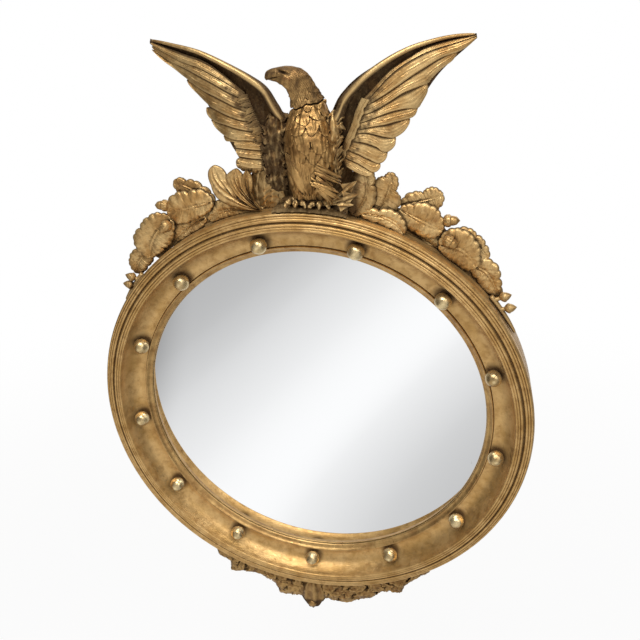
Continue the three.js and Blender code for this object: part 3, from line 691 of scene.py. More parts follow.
class Look(Enum):
    """Finishes of the mirror, each with the slot of the record that it belongs to."""

    RING = Slot.GILT_FRAME, Gilding(
        "ring_gilding", "d8b277", "c0985c", "9a7241", "3f2612", 0.22, shade_reach=0.005,
        grime_and_shade_share=0.8,
    )
    SLIP = Slot.DARK_SLIP, Gilding(
        "slip_gilding", "c9a46a", "a98250", "7d5930", "432b16", rough=0.34, shade_reach=0.004,
        grime_and_shade_share=0.5,
    )
    CARVING = Slot.CARVING, Gilding(
        "carved_gilding", "e2bf84", "b98f56", "8a6238", "2b170a", 0.35
    )
    BREAST = Slot.CARVING, Gilding(
        "breast_gilding", "cfa568", "9c7443", "6b4a29", "241307", 0.5
    )
    HEAD = Slot.CARVING, Gilding("head_gilding", "b8935e", "8b6a42", "624528", "2a190d", 0.55)
    APRON = Slot.DARK_APRON, Gilding(
        "apron_gilding", "bf9a62", "906b3e", "664729", "2a180a", 0.3
    )
    BALL = Slot.PALE_BALL, Gilding(
        "ball_gilding", "e6cf9e", "ab8a58", "63482b", "2e1c0d", 0.35, metallic=0.85, rough=0.26
    )
    GLASS = Slot.GLASS, SilveredGlass()
    PINE = Slot.BOARD, PineBoard()
    STEEL = Slot.SCREW, PlainMetal("screw_steel", "8d8a84", "4c4640", 0.35)
    BRASS = Slot.HANGER, PlainMetal("hanger_brass", "b8924c", "6d5226", 0.32)


@dataclass
class Dresser:
    """Gives a finished piece its material, its body and the CAD node that it stands for."""

    materials: dict[Look, bpy.types.Material] = field(init=False)

    def __post_init__(self) -> None:
        """Makes each material once."""
        self.materials = {look: look.value[1].material() for look in Look}

    def coat(self, piece: Piece, look: Look) -> None:
        """Gives a piece one finish."""
        piece.data.materials.clear()
        piece.data.materials.append(self.materials[look])

    def settle(
        self,
        piece: Piece,
        name: str,
        look: Look,
        node: str,
        smooth: float = 50,
        hollow: tuple[int, float] = (6, 1.2),
        body: Body = Body.MIRROR,
    ) -> None:
        """Finishes one piece.

        Args:
            piece: The finished mesh, in place.
            name: Its name.
            look: Its finish.
            node: CAD node that it replaces.
            smooth: Angle below which edges are smooth, in degrees.
            hollow: Rounds and depth for its hollows.
            body: Body that it rides on.
        """
        Bench.take(piece)
        bpy.ops.object.transform_apply(location=True, rotation=True, scale=True)
        bpy.ops.object.shade_smooth_by_angle(angle=math.radians(smooth))
        piece.name = name
        piece.data.name = name
        Bench.hollows(piece, *hollow)
        self.coat(piece, look)
        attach(piece, body.value)
        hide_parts(node)
        log.info("%s: %d faces", name, len(piece.data.polygons))


# ---------- Frame ring, slip, glass and back ----------


REEDS_INSIDE = [
    (258.3, 1.4, 54.9, 1.1, -80, 62, 5), (261.1, 1.4, 55.0, 1.4, -62, 62, 5),
    (264.2, 1.9, 54.2, 2.0, -62, 78, 6),
]
GROOVE = [(266.7, 52.2), (267.4, 52.2)]
REEDS_OUTSIDE = [
    (269.9, 1.9, 53.3, 1.7, -78, 62, 6), (273.0, 1.3, 53.2, 1.2, -62, 62, 5),
    (275.9, 1.6, 52.0, 1.6, -62, 70, 5),
]
RING_WALL = [
    (277.8, 51.4), (278.5, 50.3), (279, 48.4), (279, 40), (278.5, 38.6), (278.5, 37),
    (279, 35.6), (279, 22), (278.8, LEDGE_DEPTH), (279, 3), (277.2, 0.2), (266.4, 0.2),
    (266, 0.8), (266, LEDGE_DEPTH), (250.3, LEDGE_DEPTH), (250.3, 14.9), (236.5, 14.9),
]
SLIP_FACE = [
    (0, 25.6), (0, 26.7), (0.5, 27.5), (1.2, 28.0), (2.2, 28.3), (3.2, 28.8), (4.2, 29.6),
    (5.1, 30.6), (5.8, 31.6), (6.5, 32.2), (7.2, 32.3), (7.7, 31.9),
]
BALL_COUNT = 13


@dataclass
class TurnedFrame:
    """The gilded ring with its cove and reeds, the dark slip inside it and the glass."""

    dresser: Dresser
    sight_r: float = 224.0
    slip_r: float = 232.0
    flange_r: float = 236.2
    flange_depth: float = 25.3
    cove_depth: float = 30.0
    cove_top: float = 54.5
    cove_start: float = 236.0
    lip_r: float = 256.8
    glass_r: float = 233.5
    glass_sag: float = 29.0
    glass_thickness: float = 3.0
    ball_shade_r: float = 241.5
    steps: int = 288

    def ring_profile(self) -> Line:
        """Corners of the ring's moulding, from the slip outward and back along the wall.

        Returns:
            Closed run of (radius, depth) corners.
        """
        inner = self.slip_r + 0.3
        corners = [(inner, self.flange_depth), (inner, self.cove_depth - 0.5)]
        corners += [(inner + 0.5, self.cove_depth), (self.cove_start - 1.2, self.cove_depth)]
        for turn in np.linspace(0, QUARTER, 15):
            radius = self.cove_start + (self.lip_r - self.cove_start) * math.sin(turn)
            depth = self.cove_top + (self.cove_depth - self.cove_top) * math.cos(turn)
            corners.append((radius, depth))
        for reeds, edge in ((REEDS_INSIDE, GROOVE), (REEDS_OUTSIDE, RING_WALL)):
            for centre, half, base, rise, start, end, count in reeds:
                for turn in np.radians(np.linspace(start, end, count + 1)):
                    corners.append((centre + half * math.sin(turn), base + rise * math.cos(turn)))
            corners += edge
        return [*corners, (RING_WALL[-1][0], self.flange_depth)]

    def slip_profile(self) -> Line:
        """Corners of the slip: a fine sight edge, two reeds and a hollow."""
        face = [(self.sight_r + across, depth) for across, depth in SLIP_FACE]
        seat = [(self.flange_r, 25.0), (self.flange_r, 22.6)]
        return [*face, (self.slip_r, 31.2), (self.slip_r, 25.0), *seat]

    def glass_profile(self) -> Line:
        """Corners of the convex glass, front and back, that end on the axis.

        Returns:
            Closed run of (radius, depth) corners.
        """
        sphere = (self.glass_r**2 + self.glass_sag**2) / (2 * self.glass_sag)
        seat = 25.1 - math.sqrt(sphere**2 - self.sight_r**2)
        radii = [self.glass_r * math.sin(turn) for turn in np.linspace(0, QUARTER, 37)]
        front = [(r, seat + math.sqrt(sphere**2 - r**2)) for r in radii]
        return front + [(r, depth - self.glass_thickness) for r, depth in reversed(front)]

    def darkening(self, p: np.ndarray) -> np.ndarray:
        """How dark the ring is painted: brown in its groove and low on its wall, and painted shade
        round the foot of each ball.

        Args:
            p: Places on the ring.

        Returns:
            Shares of brown, 0 to 1.
        """
        depth, radius = -p[:, 1], np.hypot(p[:, 0], p[:, 2])
        groove = gauss(radius, 267, 0.7) * (depth > 45) * 0.85
        wall = np.clip((48 - depth) / 14, 0, 0.35) * (radius > 277.5)
        darkening = np.maximum(groove, wall)
        in_cove = (radius < 257) & (depth > 15)
        # Painted shade: a dark round patch on the cove floor at the foot of each ball.
        for k in range(BALL_COUNT):
            x, z = on_ring(360 * (k - 0.5) / BALL_COUNT, self.ball_shade_r)
            away = np.hypot(p[:, 0] - x, p[:, 2] - z)
            darkening = np.maximum(darkening, np.clip((15.5 - away) / 7, 0, 0.9) * in_cove)
        return darkening

    def build(self) -> None:
        """Makes the ring, the slip and the glass."""
        settle = self.dresser.settle
        ring = Bench.turned(self.ring_profile(), self.steps)
        p = Bench.places(ring)
        front = (-p[:, 1] > 20) & (np.hypot(p[:, 0], p[:, 2]) > 233)
        wave = ripple(p, 46, 3) * 0.12 + ripple(p, 17, 4) * 0.05
        p[:, 1] -= np.where(front, wave, 0)
        Bench.move(ring, p)
        Bench.paint(ring, self.darkening(p))
        settle(ring, "gilded_ring", Look.RING, "frame_ring", 40, (3, 2.2))
        slip = Bench.turned(self.slip_profile(), self.steps)
        settle(slip, "reeded_slip", Look.SLIP, "sight_slip", 40, (3, 2.5))
        glass = Bench.turned(self.glass_profile(), self.steps)
        p = Bench.places(glass)
        Bench.paint(glass, np.clip((np.hypot(p[:, 0], p[:, 2]) - 205) / 20, 0, 1), "edge")
        settle(glass, "convex_glass", Look.GLASS, "mirror_glass", 60)


@dataclass
class CoveBalls:
    """Small gilded balls, each on its pin in the cove."""

    dresser: Dresser
    circle_r: float = 240.0
    radius: float = 10.1
    depth: float = 42.0
    pin_r: float = 1.6
    pin_length: float = 6.5

    def pattern(self) -> Piece:
        """One ball with its pin, at the frame's axis."""
        foot = self.depth - self.radius - self.pin_length
        start = math.asin(self.pin_r / self.radius)
        turns = np.linspace(math.pi - start, 0, 29)
        ball = [
            (max(self.radius * math.sin(turn), 0.0), self.depth + self.radius * math.cos(turn))
            for turn in turns
        ]
        return Bench.turned([(0.0, foot), (self.pin_r, foot), *ball], 40)

    def build(self) -> None:
        """Copies the pattern into the cove, each ball turned and uneven in its own way."""
        pattern = self.pattern()
        for k in range(BALL_COUNT):
            x, z = on_ring(360 * (k - 0.5) / BALL_COUNT, self.circle_r)
            ball = Bench.copy(pattern)
            p = about_axis(Bench.places(ball), -math.radians(40 * k))
            lumps = ripple(p + k * 31, 9, 20 + k) * 0.12 * (p[:, 1] < -32)
            p = p + unit(p + [0, self.depth, 0]) * lumps[:, None]
            Bench.move(ball, p + [x, 0, z])
            ball.visible_glossy = False
            name = f"ball_{k + 1:02d}"
            self.dresser.settle(ball, f"gilt_{name}", Look.BALL, name)
        Bench.remove(pattern)


@dataclass
class BackFittings:
    """Pine board, its screws, and the two strap hangers with their swinging rings."""

    dresser: Dresser
    board_screws: int = 3
    screw_circle: float = 243.4
    board_seat: float = 8.3
    hanger_r: float = 255.2
    hanger_angle: float = 66.0
    strap_face: float = LEDGE_DEPTH - 0.3
    strap_width: float = 9.0
    strap_length: float = 19.0
    strap_thickness: float = 1.2
    strap_screw_at: float = 10.6
    screw_hole_r: float = 1.8
    wire_r: float = 1.1
    eye_r: float = 2.4
    ring_drop: float = 15.5

    def screw_pattern(self) -> Piece:
        """Slotted dome-headed screw on the frame's axis with its seat at depth 0."""
        profile = [(0.0, 9.0), (0.4, 8.4), (1.5, 7.2)]
        for k in range(12):
            depth = 7.0 - k * 0.55
            profile += [(1.5, depth), (1.18, depth - 0.28)]
        profile += [(1.5, 0.2), (1.5, 0.0), (3.2, 0.0), (3.2, -0.25), (2.9, -0.8), (2.2, -1.25)]
        screw = Bench.turned([*profile, (1.2, -1.52), (0.0, -1.6)], 28)
        slot = Bench.add(bpy.ops.mesh.primitive_cube_add, size=1)
        Bench.move(slot, Bench.places(slot, 1) * [7.0, 1.1, 0.8] + [0, 1.55, 0])
        Bench.apply(screw, "BOOLEAN", object=slot, operation="DIFFERENCE", solver="EXACT")
        Bench.remove(slot)
        return screw

    def swing(self, piece: Piece, p: np.ndarray, side: Side) -> None:
        """Moves a piece from upright hanger places to the hanger's own place on the ledge."""
        turn = math.radians(side.value * (self.hanger_angle - 90))
        Bench.move(piece, about_axis(p + [side.value * self.hanger_r, 0, 0], turn))

    def strap(self, side: Side) -> Piece:
        """Folded brass strap with rounded corners, its eye at the bottom and its screw hole.

        Args:
            side: Which hanger it is for.

        Returns:
            The strap in place.
        """
        plate = Bench.add(bpy.ops.mesh.primitive_cube_add, size=1)
        size = [self.strap_width, self.strap_thickness, self.strap_length + 1.2]
        place = [0, self.strap_thickness / 2 - self.strap_face, self.strap_length / 2 - 0.6]
        Bench.move(plate, Bench.places(plate, 1) * size + place)
        Bench.apply(
            plate, "BEVEL", width=0.9 * MM, segments=3, limit_method="NONE", affect="VERTICES"
        )
        eye, sideways = (0, self.eye_r - self.strap_face, 0), (0, QUARTER, 0)
        hole = (0, -self.strap_face, self.strap_screw_at)
        for radius, depth, centre, tilt, sides, operation in (
            (self.eye_r, self.strap_width, eye, sideways, 40, "UNION"),
            (self.wire_r + 0.35, self.strap_width * 2, eye, sideways, 40, "DIFFERENCE"),
            (self.screw_hole_r, 8, hole, (QUARTER, 0, 0), 32, "DIFFERENCE"),
        ):
            tool = Bench.add(
                bpy.ops.mesh.primitive_cylinder_add, vertices=sides, radius=radius * MM,
                depth=depth * MM, location=[c * MM for c in centre], rotation=tilt,
            )
            bpy.ops.object.transform_apply()
            Bench.apply(plate, "BOOLEAN", object=tool, operation=operation, solver="EXACT")
            Bench.remove(tool)
        self.swing(plate, Bench.places(plate), side)
        return plate

    def ring(self, side: Side) -> Piece:
        """Wire loop in the strap's eye: straight at the top, round at the bottom.

        Args:
            side: Which hanger it is for.

        Returns:
            The loop in place.
        """
        half = self.strap_width / 2 + 0.7 + self.wire_r
        corners = [(-half + 2.0, 0), (0, 0), (half - 2.0, 0), (half - 0.5, -0.5), (half, -2.0)]
        for turn in np.linspace(0, math.pi, 13):
            corners.append((half * math.cos(turn), half - self.ring_drop - half * math.sin(turn)))
        corners += [(-half, -2.0), (-half + 0.5, -0.5), (-half + 2.0, 0)]
        eye = self.eye_r - self.strap_face
        line = smooth_line([(x, eye, z) for x, z in corners], 97)[:-1]
        loop = Bench.add(
            bpy.ops.mesh.primitive_torus_add, major_segments=96, minor_segments=16,
            major_radius=1, minor_radius=0.1,
        )
        x, y, z = Bench.places(loop, 1).T
        index = np.round(np.arctan2(y, x) / (2 * math.pi) * 96).astype(int) % 96
        out = unit(np.cross(FORWARD_AXIS, unit(np.roll(line, -1, 0) - np.roll(line, 1, 0))))
        wire = np.outer(z / 0.1, FORWARD_AXIS) + out[index] * ((np.hypot(x, y) - 1) / 0.1)[:, None]
        self.swing(loop, line[index] + wire * self.wire_r, side)
        Bench.outward(loop)
        return loop

    def build(self) -> None:
        """Makes the fittings on the back."""
        settle = self.dresser.settle
        self.dresser.coat(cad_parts["backboard"], Look.PINE)
        pattern = self.screw_pattern()
        for k in range(self.board_screws):
            x, z = on_ring(360 / self.board_screws * k, self.screw_circle)
            screw = Bench.copy(pattern)
            p = about_axis(Bench.places(screw), 0.7 + k)
            Bench.move(screw, p + [x, -self.board_seat, z])
            name = f"backboard_screw_{k + 1}"
            settle(screw, f"slotted_{name}", Look.STEEL, name, 35)
        seat = self.strap_face - self.strap_thickness - 0.3
        for side, body in ((Side.LEFT, Body.RING_LEFT), (Side.RIGHT, Body.RING_RIGHT)):
            word = side.word
            strap, ring = f"strap_{word}", f"ring_{word}"
            settle(self.strap(side), f"brass_{strap}", Look.BRASS, f"hanger_{strap}", 35)
            settle(self.ring(side), f"brass_{ring}", Look.BRASS, f"hanger_{ring}", body=body)
            screw, name = Bench.copy(pattern), f"hanger_screw_{word}"
            self.swing(screw, Bench.places(screw) + [0, -seat, self.strap_screw_at], side)
            settle(screw, f"slotted_{name}", Look.STEEL, name, 35)
        Bench.remove(pattern)


# ---------- Wings ----------

# Each row of edges: the corners that two neighbouring feathers share, the end of the edge as
# the upper edge of the feather below it, and its end as the lower edge of the one above.
Edge = tuple[Line, Line, Line]
LEFT_EDGES: list[Edge] = [
    ([], [(60, 117), (76, 129), (93, 141), (108, 148), (123, 152), (145, 158), (168, 165)], []),
    ([(60, 115), (76, 125), (94, 134), (110, 141), (129, 146), (149, 154), (168, 162)], [], []),
    ([(57, 108), (77, 117), (98, 127), (124, 138), (151, 148), (169, 158)], [], []),
    ([(54, 96), (72, 103), (91, 111), (112, 119)], [(130, 128)], [(130, 129), (143, 138),
     (156, 146), (169, 156)]),
    ([(50, 87), (70, 90), (83, 94), (96, 99)], [(108, 100)], [(105, 103), (117, 112), (128, 122),
     (131, 126)]),
    ([(46, 76), (71, 80), (84, 83), (97, 85)], [(105, 87)], [(105, 88), (109, 93), (111, 98)]),
    ([], [(42, 68), (60, 68), (78, 68), (90, 71)], [(42, 67), (60, 67.5), (77, 68), (90, 72),
     (99, 78), (105, 85)]),
    ([], [(41, 67), (60, 67.5), (76, 68)], [(42, 62), (60, 62), (78, 65), (87, 65), (91, 69)]),
    ([(40, 57), (58, 58)], [(76, 59)], [(77, 59.5)]),
    ([(40, 47), (57, 48)], [(73, 49)], [(75, 50)]),
    ([], [], [(42, 37), (61, 37), (74, 40)]),
]
RIGHT_EDGES: list[Edge] = [
    ([], [(60, 108), (67, 114), (78, 126), (92, 140), (109, 151), (125, 160), (151, 167),
     (172, 171)], []),
    ([(63, 104), (71, 113), (78, 121), (90, 134), (104, 145), (125, 156), (151, 164), (172, 170)],
     [], []),
    ([(62, 100), (70, 107), (90, 119), (110, 133), (126, 143), (140, 151)], [(154, 158)],
     [(155, 156), (166, 162), (173, 168)]),
    ([(60, 95), (76, 101), (90, 109), (104, 118), (119, 124)], [(127, 127)], [(128, 127),
     (132, 132), (140, 140), (151, 148), (156, 154)]),
    ([(58, 87), (76, 94), (93, 100), (108, 103)], [(119, 104)], [(119, 103), (123, 108),
     (128, 118), (129, 125)]),
    ([(56, 81), (73, 85), (86, 87), (98, 90)], [(111, 93)], [(112, 93), (117, 96), (120, 102)]),
    ([(55, 77), (68, 79), (79, 77), (91, 74), (98, 74)], [], [(106, 79), (111, 86), (113, 91)]),
    ([(51, 70), (65, 69), (78, 65)], [(85, 61), (90, 59)], [(85, 60), (91, 59), (97, 64),
     (99, 71)]),
    ([(47, 61), (61, 56), (72, 51), (82, 47)], [], [(88, 50), (91, 57)]),
    ([(43, 53), (58, 47), (67, 42), (76, 37)], [], [(82, 40), (84, 45)]),
    ([], [], [(42, 46), (54, 38), (66, 33), (75, 33)]),
]


@dataclass(frozen=True)
class WingPlan:
    """One wing's lines in the face view: (out, proud, rise) or (out, rise) from root to tip."""

    side: Side
    edges: Sequence[Edge]
    lead: Line
    trail: Line
    roll: Line
    shoulder: Line
    shoulder_half: float
    covert: Line = ()


LEFT_WING = WingPlan(
    Side.LEFT, LEFT_EDGES,
    lead=[(5, 2, 76), (18, 7, 91), (32, 10, 110), (57, 12, 133.5), (104, 8, 149),
          (137, 0, 160), (170, -11, 168)],
    trail=[(8, 0, 42), (38, 0, 33), (71, 0, 35), (92, -3, 69), (110, -7, 100),
           (131, -9, 129), (171.5, -13, 163)],
    roll=[(19, 90), (25, 98.5), (29, 105), (38, 120), (52, 130.5), (75, 142.5), (108, 156),
          (142, 163), (167.5, 167)],
    shoulder=[(23, 6, 99), (27, 9, 88), (30, 9, 70), (30, 8, 50), (29, 6, 30), (27, 3, 12)],
    shoulder_half=13.5,
)
RIGHT_WING = WingPlan(
    Side.RIGHT, RIGHT_EDGES,
    lead=[(16, 2, 78), (29, 6, 94), (42, 10, 117), (67, 12, 139), (115, 4, 163),
          (145, -4, 170), (172, -11, 172.5)],
    trail=[(18, 0, 42), (50, 0, 33), (79, 0, 37), (98, -2, 67), (118, -5, 98),
           (140, -9, 135), (173, -13, 168)],
    roll=[(33, 86), (41, 98), (47, 112), (57, 124), (71, 137), (90, 150), (110, 160),
          (131, 166.5), (151, 170.5), (171, 172)],
    shoulder=[(36, 8, 101), (35, 12, 90), (34, 13, 74), (33, 11, 58), (33, 8, 42), (34, 5, 28)],
    shoulder_half=10.5,
    covert=[(70, 112), (65, 102), (61, 90), (56, 77), (50, 66), (45, 55), (41, 46)],
)


def feather_pattern(columns: int, rows: int) -> Piece:
    """Long feather: a crowned slab with a fine quill and barb strokes.

    Args:
        columns: Faces along.
        rows: Faces across.

    Returns:
        The pattern, as a sheet with relief.
    """
    piece = Bench.sheet(columns, rows)
    u, v, h = Bench.places(piece, 1).T
    crown = 0.75 * np.sqrt(np.clip(1 - v**2, 0, 1))
    quill = 0.22 * gauss(v, 0.1, 0.08) * np.clip(1.1 - u, 0, 1)
    beside = -0.28 * gauss(v, 0.3, 0.08) * np.clip(1.2 - u, 0, 1)
    wander = 0.5 * np.sin(u * 7) + 0.35 * np.sin(u * 17 + 1)
    strokes = 0.17 * np.sin(v * 17 + 2.2 * wander) * (1 - 0.6 * np.abs(v))
    nicks = 0.1 * ripple(stack(u * 70, v * 9, 0.0), 6, 55)
    front = crown + quill + beside + strokes + nicks
    Bench.move(piece, stack(u, v, np.where(h > BEHIND, front, -1)), 1)
    return piece


@dataclass
class Wing:
    """One raised wing: a hollowed plate with a rolled leading edge and overlapping feathers."""

    dresser: Dresser
    plan: WingPlan
    step: float = 2.9
    wisp_count: int = 44

    def __post_init__(self) -> None:
        """Draws the edges."""
        self.leading = smooth_line(self.plan.lead, 200)
        roll = smooth_line(self.plan.roll, 200)
        risen = np.interp(self.leading[:, 0], roll[:, 0], roll[:, 1])
        self.leading[:, 2] = np.maximum(self.leading[:, 2], risen)
        self.trailing = smooth_line(self.plan.trail, 200)
        self.crest = smooth_line(self.plan.roll, 90)

    def surface(self, out: np.ndarray, rise: np.ndarray) -> np.ndarray:
        """How proud the wing's plain face is.

        Args:
            out: Sideways places in the face view.
            rise: Upright places in the face view.

        Returns:
            How proud each place is.
        """
        lead_out, front, high = self.leading.T
        trail_out, back, base = self.trailing.T
        high, base = np.interp(out, lead_out, high), np.interp(out, trail_out, base)
        front, back = np.interp(out, lead_out, front), np.interp(out, trail_out, back)
        share = np.clip((high - rise) / np.maximum(high - base, 6), 0, 1)
        return front * (1 - share) + back * share + 2.2 * np.sin(math.pi * share)

    def world(self, out: np.ndarray, proud: np.ndarray, rise: np.ndarray) -> np.ndarray:
        """Places in the frame from places on the wing."""
        return stack(self.plan.side.value * out, -CREST_DEPTH - proud, PERCH_TOP + rise)

    def plate(self) -> Piece:
        """The wing's own board, hollow under the leading edge and ribbed behind."""
        piece = Bench.sheet(110, 44)
        t, v, h = Bench.places(piece, 1).T
        share, back = (v + 1) / 2, h < BEHIND
        lead, trail = along(self.leading, t), along(self.trailing, t)
        spot = lead + (trail - lead) * (share * (0.95 - 0.05 * (1 - t)))[:, None]
        taper = 0.35 + 0.65 * (1 - t)
        ribs = 0.5 * np.sin(share * 46 + t * 9) * np.clip(share * 3, 0, 1)
        rough = ripple(spot * [1, 0, 0.5], 7, 9)
        carved = 0.8 * hair(spot * [1, 0, 1], 3.4, 8) + 0.7 * rough
        carved *= np.clip((0.62 - t) * 4, 0, 1)
        front = -1.4 - 3.6 * gauss(share, 0.18, 0.15) * taper + carved
        belly = 7 * taper * np.sin(math.pi * np.clip(share * 0.9 + 0.08, 0, 1))
        proud = spot[:, 1] + np.where(back, -2.6 - belly - ribs, front)
        Bench.move(piece, self.world(spot[:, 0], proud, spot[:, 2]))
        # Front painted dark brown: worn gilding, and painted shade in the hollow under the leading
        # edge and between the feathers. The back is painted half dark.
        Bench.paint(piece, np.where(back, 0.45, 0.93 + 0.12 * np.clip(rough, -1, 0)))
        Bench.outward(piece)
        return piece

    def rolled_edge(self) -> Piece:
        """The round leading edge, thick at the shoulder and thin at the tip."""
        out, rise = self.crest.T
        proud = np.interp(out, self.leading[:, 0], self.leading[:, 1]) + np.linspace(2.6, 0.4, 90)
        runs, widths = [0, 0.07, 0.2, 0.4, 0.7, 1], [4.0, 5.4, 4.6, 3.2, 2.2, 1.2]
        radii = np.interp(np.linspace(0, 1, 40), runs, widths)
        roll = Bench.tube(self.world(out, proud, rise), radii, 20, 110, 1.25)
        x, _, z = Bench.places(roll).T
        offset = np.abs(z - PERCH_TOP - np.interp(np.abs(x), out, rise))
        Bench.paint(roll, np.clip(offset / 3.2 - 0.35, 0, 0.92))
        return roll

    def shoulder_web(self) -> Piece:
        """Shaggy web between the wing and the bird's flank, with a worn ridge down it, a painted
        highlight and painted shade.
        """
        line = smooth_line(self.plan.shoulder, 40)

        def shape(u: np.ndarray, turn: np.ndarray) -> np.ndarray:
            """Places on the web."""
            spot = along(line, u)
            end = np.sqrt(np.clip(1 - (2 * u - 1) ** 6, 0, 1))
            fray = 1 + 0.16 * np.sin(spot[:, 2] * 0.55) + 0.1 * np.sin(spot[:, 2] * 1.3 + 1)
            out = spot[:, 0] + self.plan.shoulder_half * fray * end * np.cos(turn)
            rise = spot[:, 2] + 2.5 * np.sin(out * 0.6) * end
            places = self.world(out, spot[:, 1] - 7 * end * np.sin(turn), rise)
            places[:, 1] -= (1.9 * hair(places, 3.2, 18) + 1.1 * ripple(places, 8, 19)) * end
            return places

        web = Bench.round_form(90, 90, shape)
        p = Bench.places(web)
        out, rise = np.abs(p[:, 0]), p[:, 2] - PERCH_TOP
        worn_and_highlit = ripple(p, 9, 21) * 0.6 + hair(p * [1, 0, 1], 3.2, 18) * 0.9
        if self.plan.side is Side.LEFT:
            # Left: dark all over, with a pale patch painted as a highlight round a height of 86.
            pale = gauss(rise, 86, 6) * np.clip(worn_and_highlit + 0.2, 0, 1)
            darkening = 0.9 - 0.6 * pale - 0.4 * np.clip(worn_and_highlit, 0, 1)
        else:
            # Right: painted shade beside the ridge, deepest out towards the wing.
            aside = out - np.interp(rise, line[::-1, 2], line[::-1, 0])
            darkening = np.clip((aside - 1) / 6, 0, 0.8) + np.clip((-aside - 5) / 5, 0, 0.5)
            darkening = 0.55 * darkening - 0.15 * worn_and_highlit
        Bench.paint(web, np.clip(darkening, 0.05, 0.95))
        return web

    def feather(
        self, pattern: Piece, upper: Line, lower: Line, lift: float, raised: float = 0
    ) -> Piece:
        """Copy of the feather pattern between its two edge lines.

        Args:
            pattern: Slab with the feather's relief.
            upper: Its upper edge, root to tip, in the face view.
            lower: Its lower edge, root to tip.
            lift: How far its lower edge stands over the next feather.
            raised: How far the whole feather stands out.

        Returns:
            The feather in place.
        """
        piece, u, v, h = Bench.slab(pattern)
        edge_a, edge_b = along(smooth_line(upper, 90), u), along(smooth_line(lower, 90), u)
        half = np.sqrt(np.clip(1 - 0.96 * np.clip((u - 0.9) / 0.1, 0, 1) ** 2.2, 0, 1))
        share = (v * half + 1) / 2 * 1.12 - 0.12 * (1 - u) - 0.1 * u
        out, rise = (edge_a * (1 - share)[:, None] + edge_b * share[:, None]).T
        base = self.surface(out, rise) - 0.6
        scale = np.clip(np.linalg.norm(edge_a - edge_b, axis=1) / 10, 0.25, 1)
        tilt = lift * np.clip(share, 0, 1) * np.clip(u * 6, 0, 1) * np.clip(scale + 0.3, 0, 1)
        proud = base + np.where(h < BEHIND, -3.2 * scale, tilt + h * 1.5 * scale) + raised
        Bench.move(piece, self.world(out, proud, rise))
        # Painted shade: a dark seam along the upper edge, where the feather above lies over it. The
        # roots are painted dark too, with an uneven end.
        seam = 0.85 * np.clip((0.2 - share) / 0.06, 0, 1) * (h > BEHIND)
        uneven = 0.45 * ripple(stack(out, rise, 0.0), 7, 23)
        Bench.paint(piece, np.maximum(np.clip(0.95 - u * 3.2 + uneven, 0, 0.85), seam))
        return piece

    def covert_strip(self, pattern: Piece) -> Piece:
        """Pale strip with a ragged edge that covers the roots of the long feathers."""
        line = smooth_line(self.plan.covert, 60)
        steps = np.arange(60)
        ragged = 0.6 * np.sin(steps * 0.62) + 0.4 * np.sin(steps * 1.13 + 1)
        piece = self.feather(
            pattern, line + [-5.5, 1.6], line + stack(1.5 + ragged, -0.4 * ragged), 1.2, 1.5
        )
        Bench.paint(piece, 0.25)
        return piece

    def wisps(self, pattern: Piece) -> list[Piece]:
        """Wisps that hang from the web over the roots of the lower feathers."""
        rng = np.random.default_rng(5)
        pieces = []
        for rise in np.linspace(116, 37, self.wisp_count):
            root = np.interp(rise, [37, 57, 76, 96, 115], [34, 36, 41, 49, 56])
            reach, fall, wide = rng.uniform(6, 15), rng.uniform(1, 9), rng.uniform(1.0, 2.4)
            upper = [(0, 0), (reach * 0.6, -fall * 0.3), (reach, -fall)]
            lower = [(0, -wide), (reach * 0.55, -fall * 0.4 - wide), (reach, -fall - 0.4)]
            at = np.array([root, rise])
            piece = self.feather(pattern, upper + at, lower + at, 0.8, rng.uniform(1.4, 2.4))
            out = np.abs(Bench.places(piece)[:, 0])
            fade = rng.uniform(0.3, 0.9)
            Bench.paint(piece, np.clip(0.9 - (out - root) / reach * fade, 0, 0.9))
            pieces.append(piece)
        return pieces

    def build(self, pattern: Piece) -> None:
        """Carves the wing from copies of the long feather."""
        parts = [self.plate(), self.rolled_edge(), self.shoulder_web()]
        if self.plan.side is Side.LEFT:
            thin = feather_pattern(22, 6)
            parts += self.wisps(thin)
            Bench.remove(thin)
        for (shared, end, _), (below, _, tip) in zip(self.plan.edges, self.plan.edges[1:]):
            parts.append(self.feather(pattern, [*shared, *end], [*below, *tip], self.step))
        if self.plan.covert:
            parts.append(self.covert_strip(pattern))
        word = self.plan.side.word
        wing = Bench.assemble(parts)
        settle = self.dresser.settle
        settle(wing, f"carved_wing_{word}", Look.CARVING, f"{word}_wing", 55, (5, 0.9))


# ---------- Body, head, perch and arrows ----------


Section = tuple[float, float, float, float, float, float]
BODY_SECTIONS: list[Section] = [
    (-3, 1, 5, 13, 10, 0), (-3, 1, 9, 15, 12, 0), (-2, 2, 18, 20, 17, 0), (1, 4, 32, 25, 22, 0),
    (3, 6, 53, 29, 26, 0), (2, 7, 72, 28, 27, 0), (1, 6, 87, 24, 25, 0), (0, 6, 98, 20, 21, 0.12),
    (0, 7, NECK_RISE, 18, 18, 0.29),
]
HEAD_SECTIONS: list[Section] = [
    (0, 7, NECK_RISE + 0.3, 18, 18, 0.29), (-3, 10, NECK_RISE + 10, 15.5, 15, 0.24),
    (-7, 14, NECK_RISE + 19.5, 14.2, 13.6, 0.3), (-12.5, 17, NECK_RISE + 26.5, 14, 13, 0.52),
    (-20.7, 18, NECK_RISE + 29.2, 10.5, 11, 1.5), (-28.5, 18.5, NECK_RISE + 29.7, 7.4, 8, 9),
    (-34.5, 19, NECK_RISE + 29.5, 5.9, 5.4, -12), (-39, 19, NECK_RISE + 28.5, 4.1, 3.6, -3),
    (-41.2, 19, NECK_RISE + 25.4, 1.5, 1.4, -1.4),
]


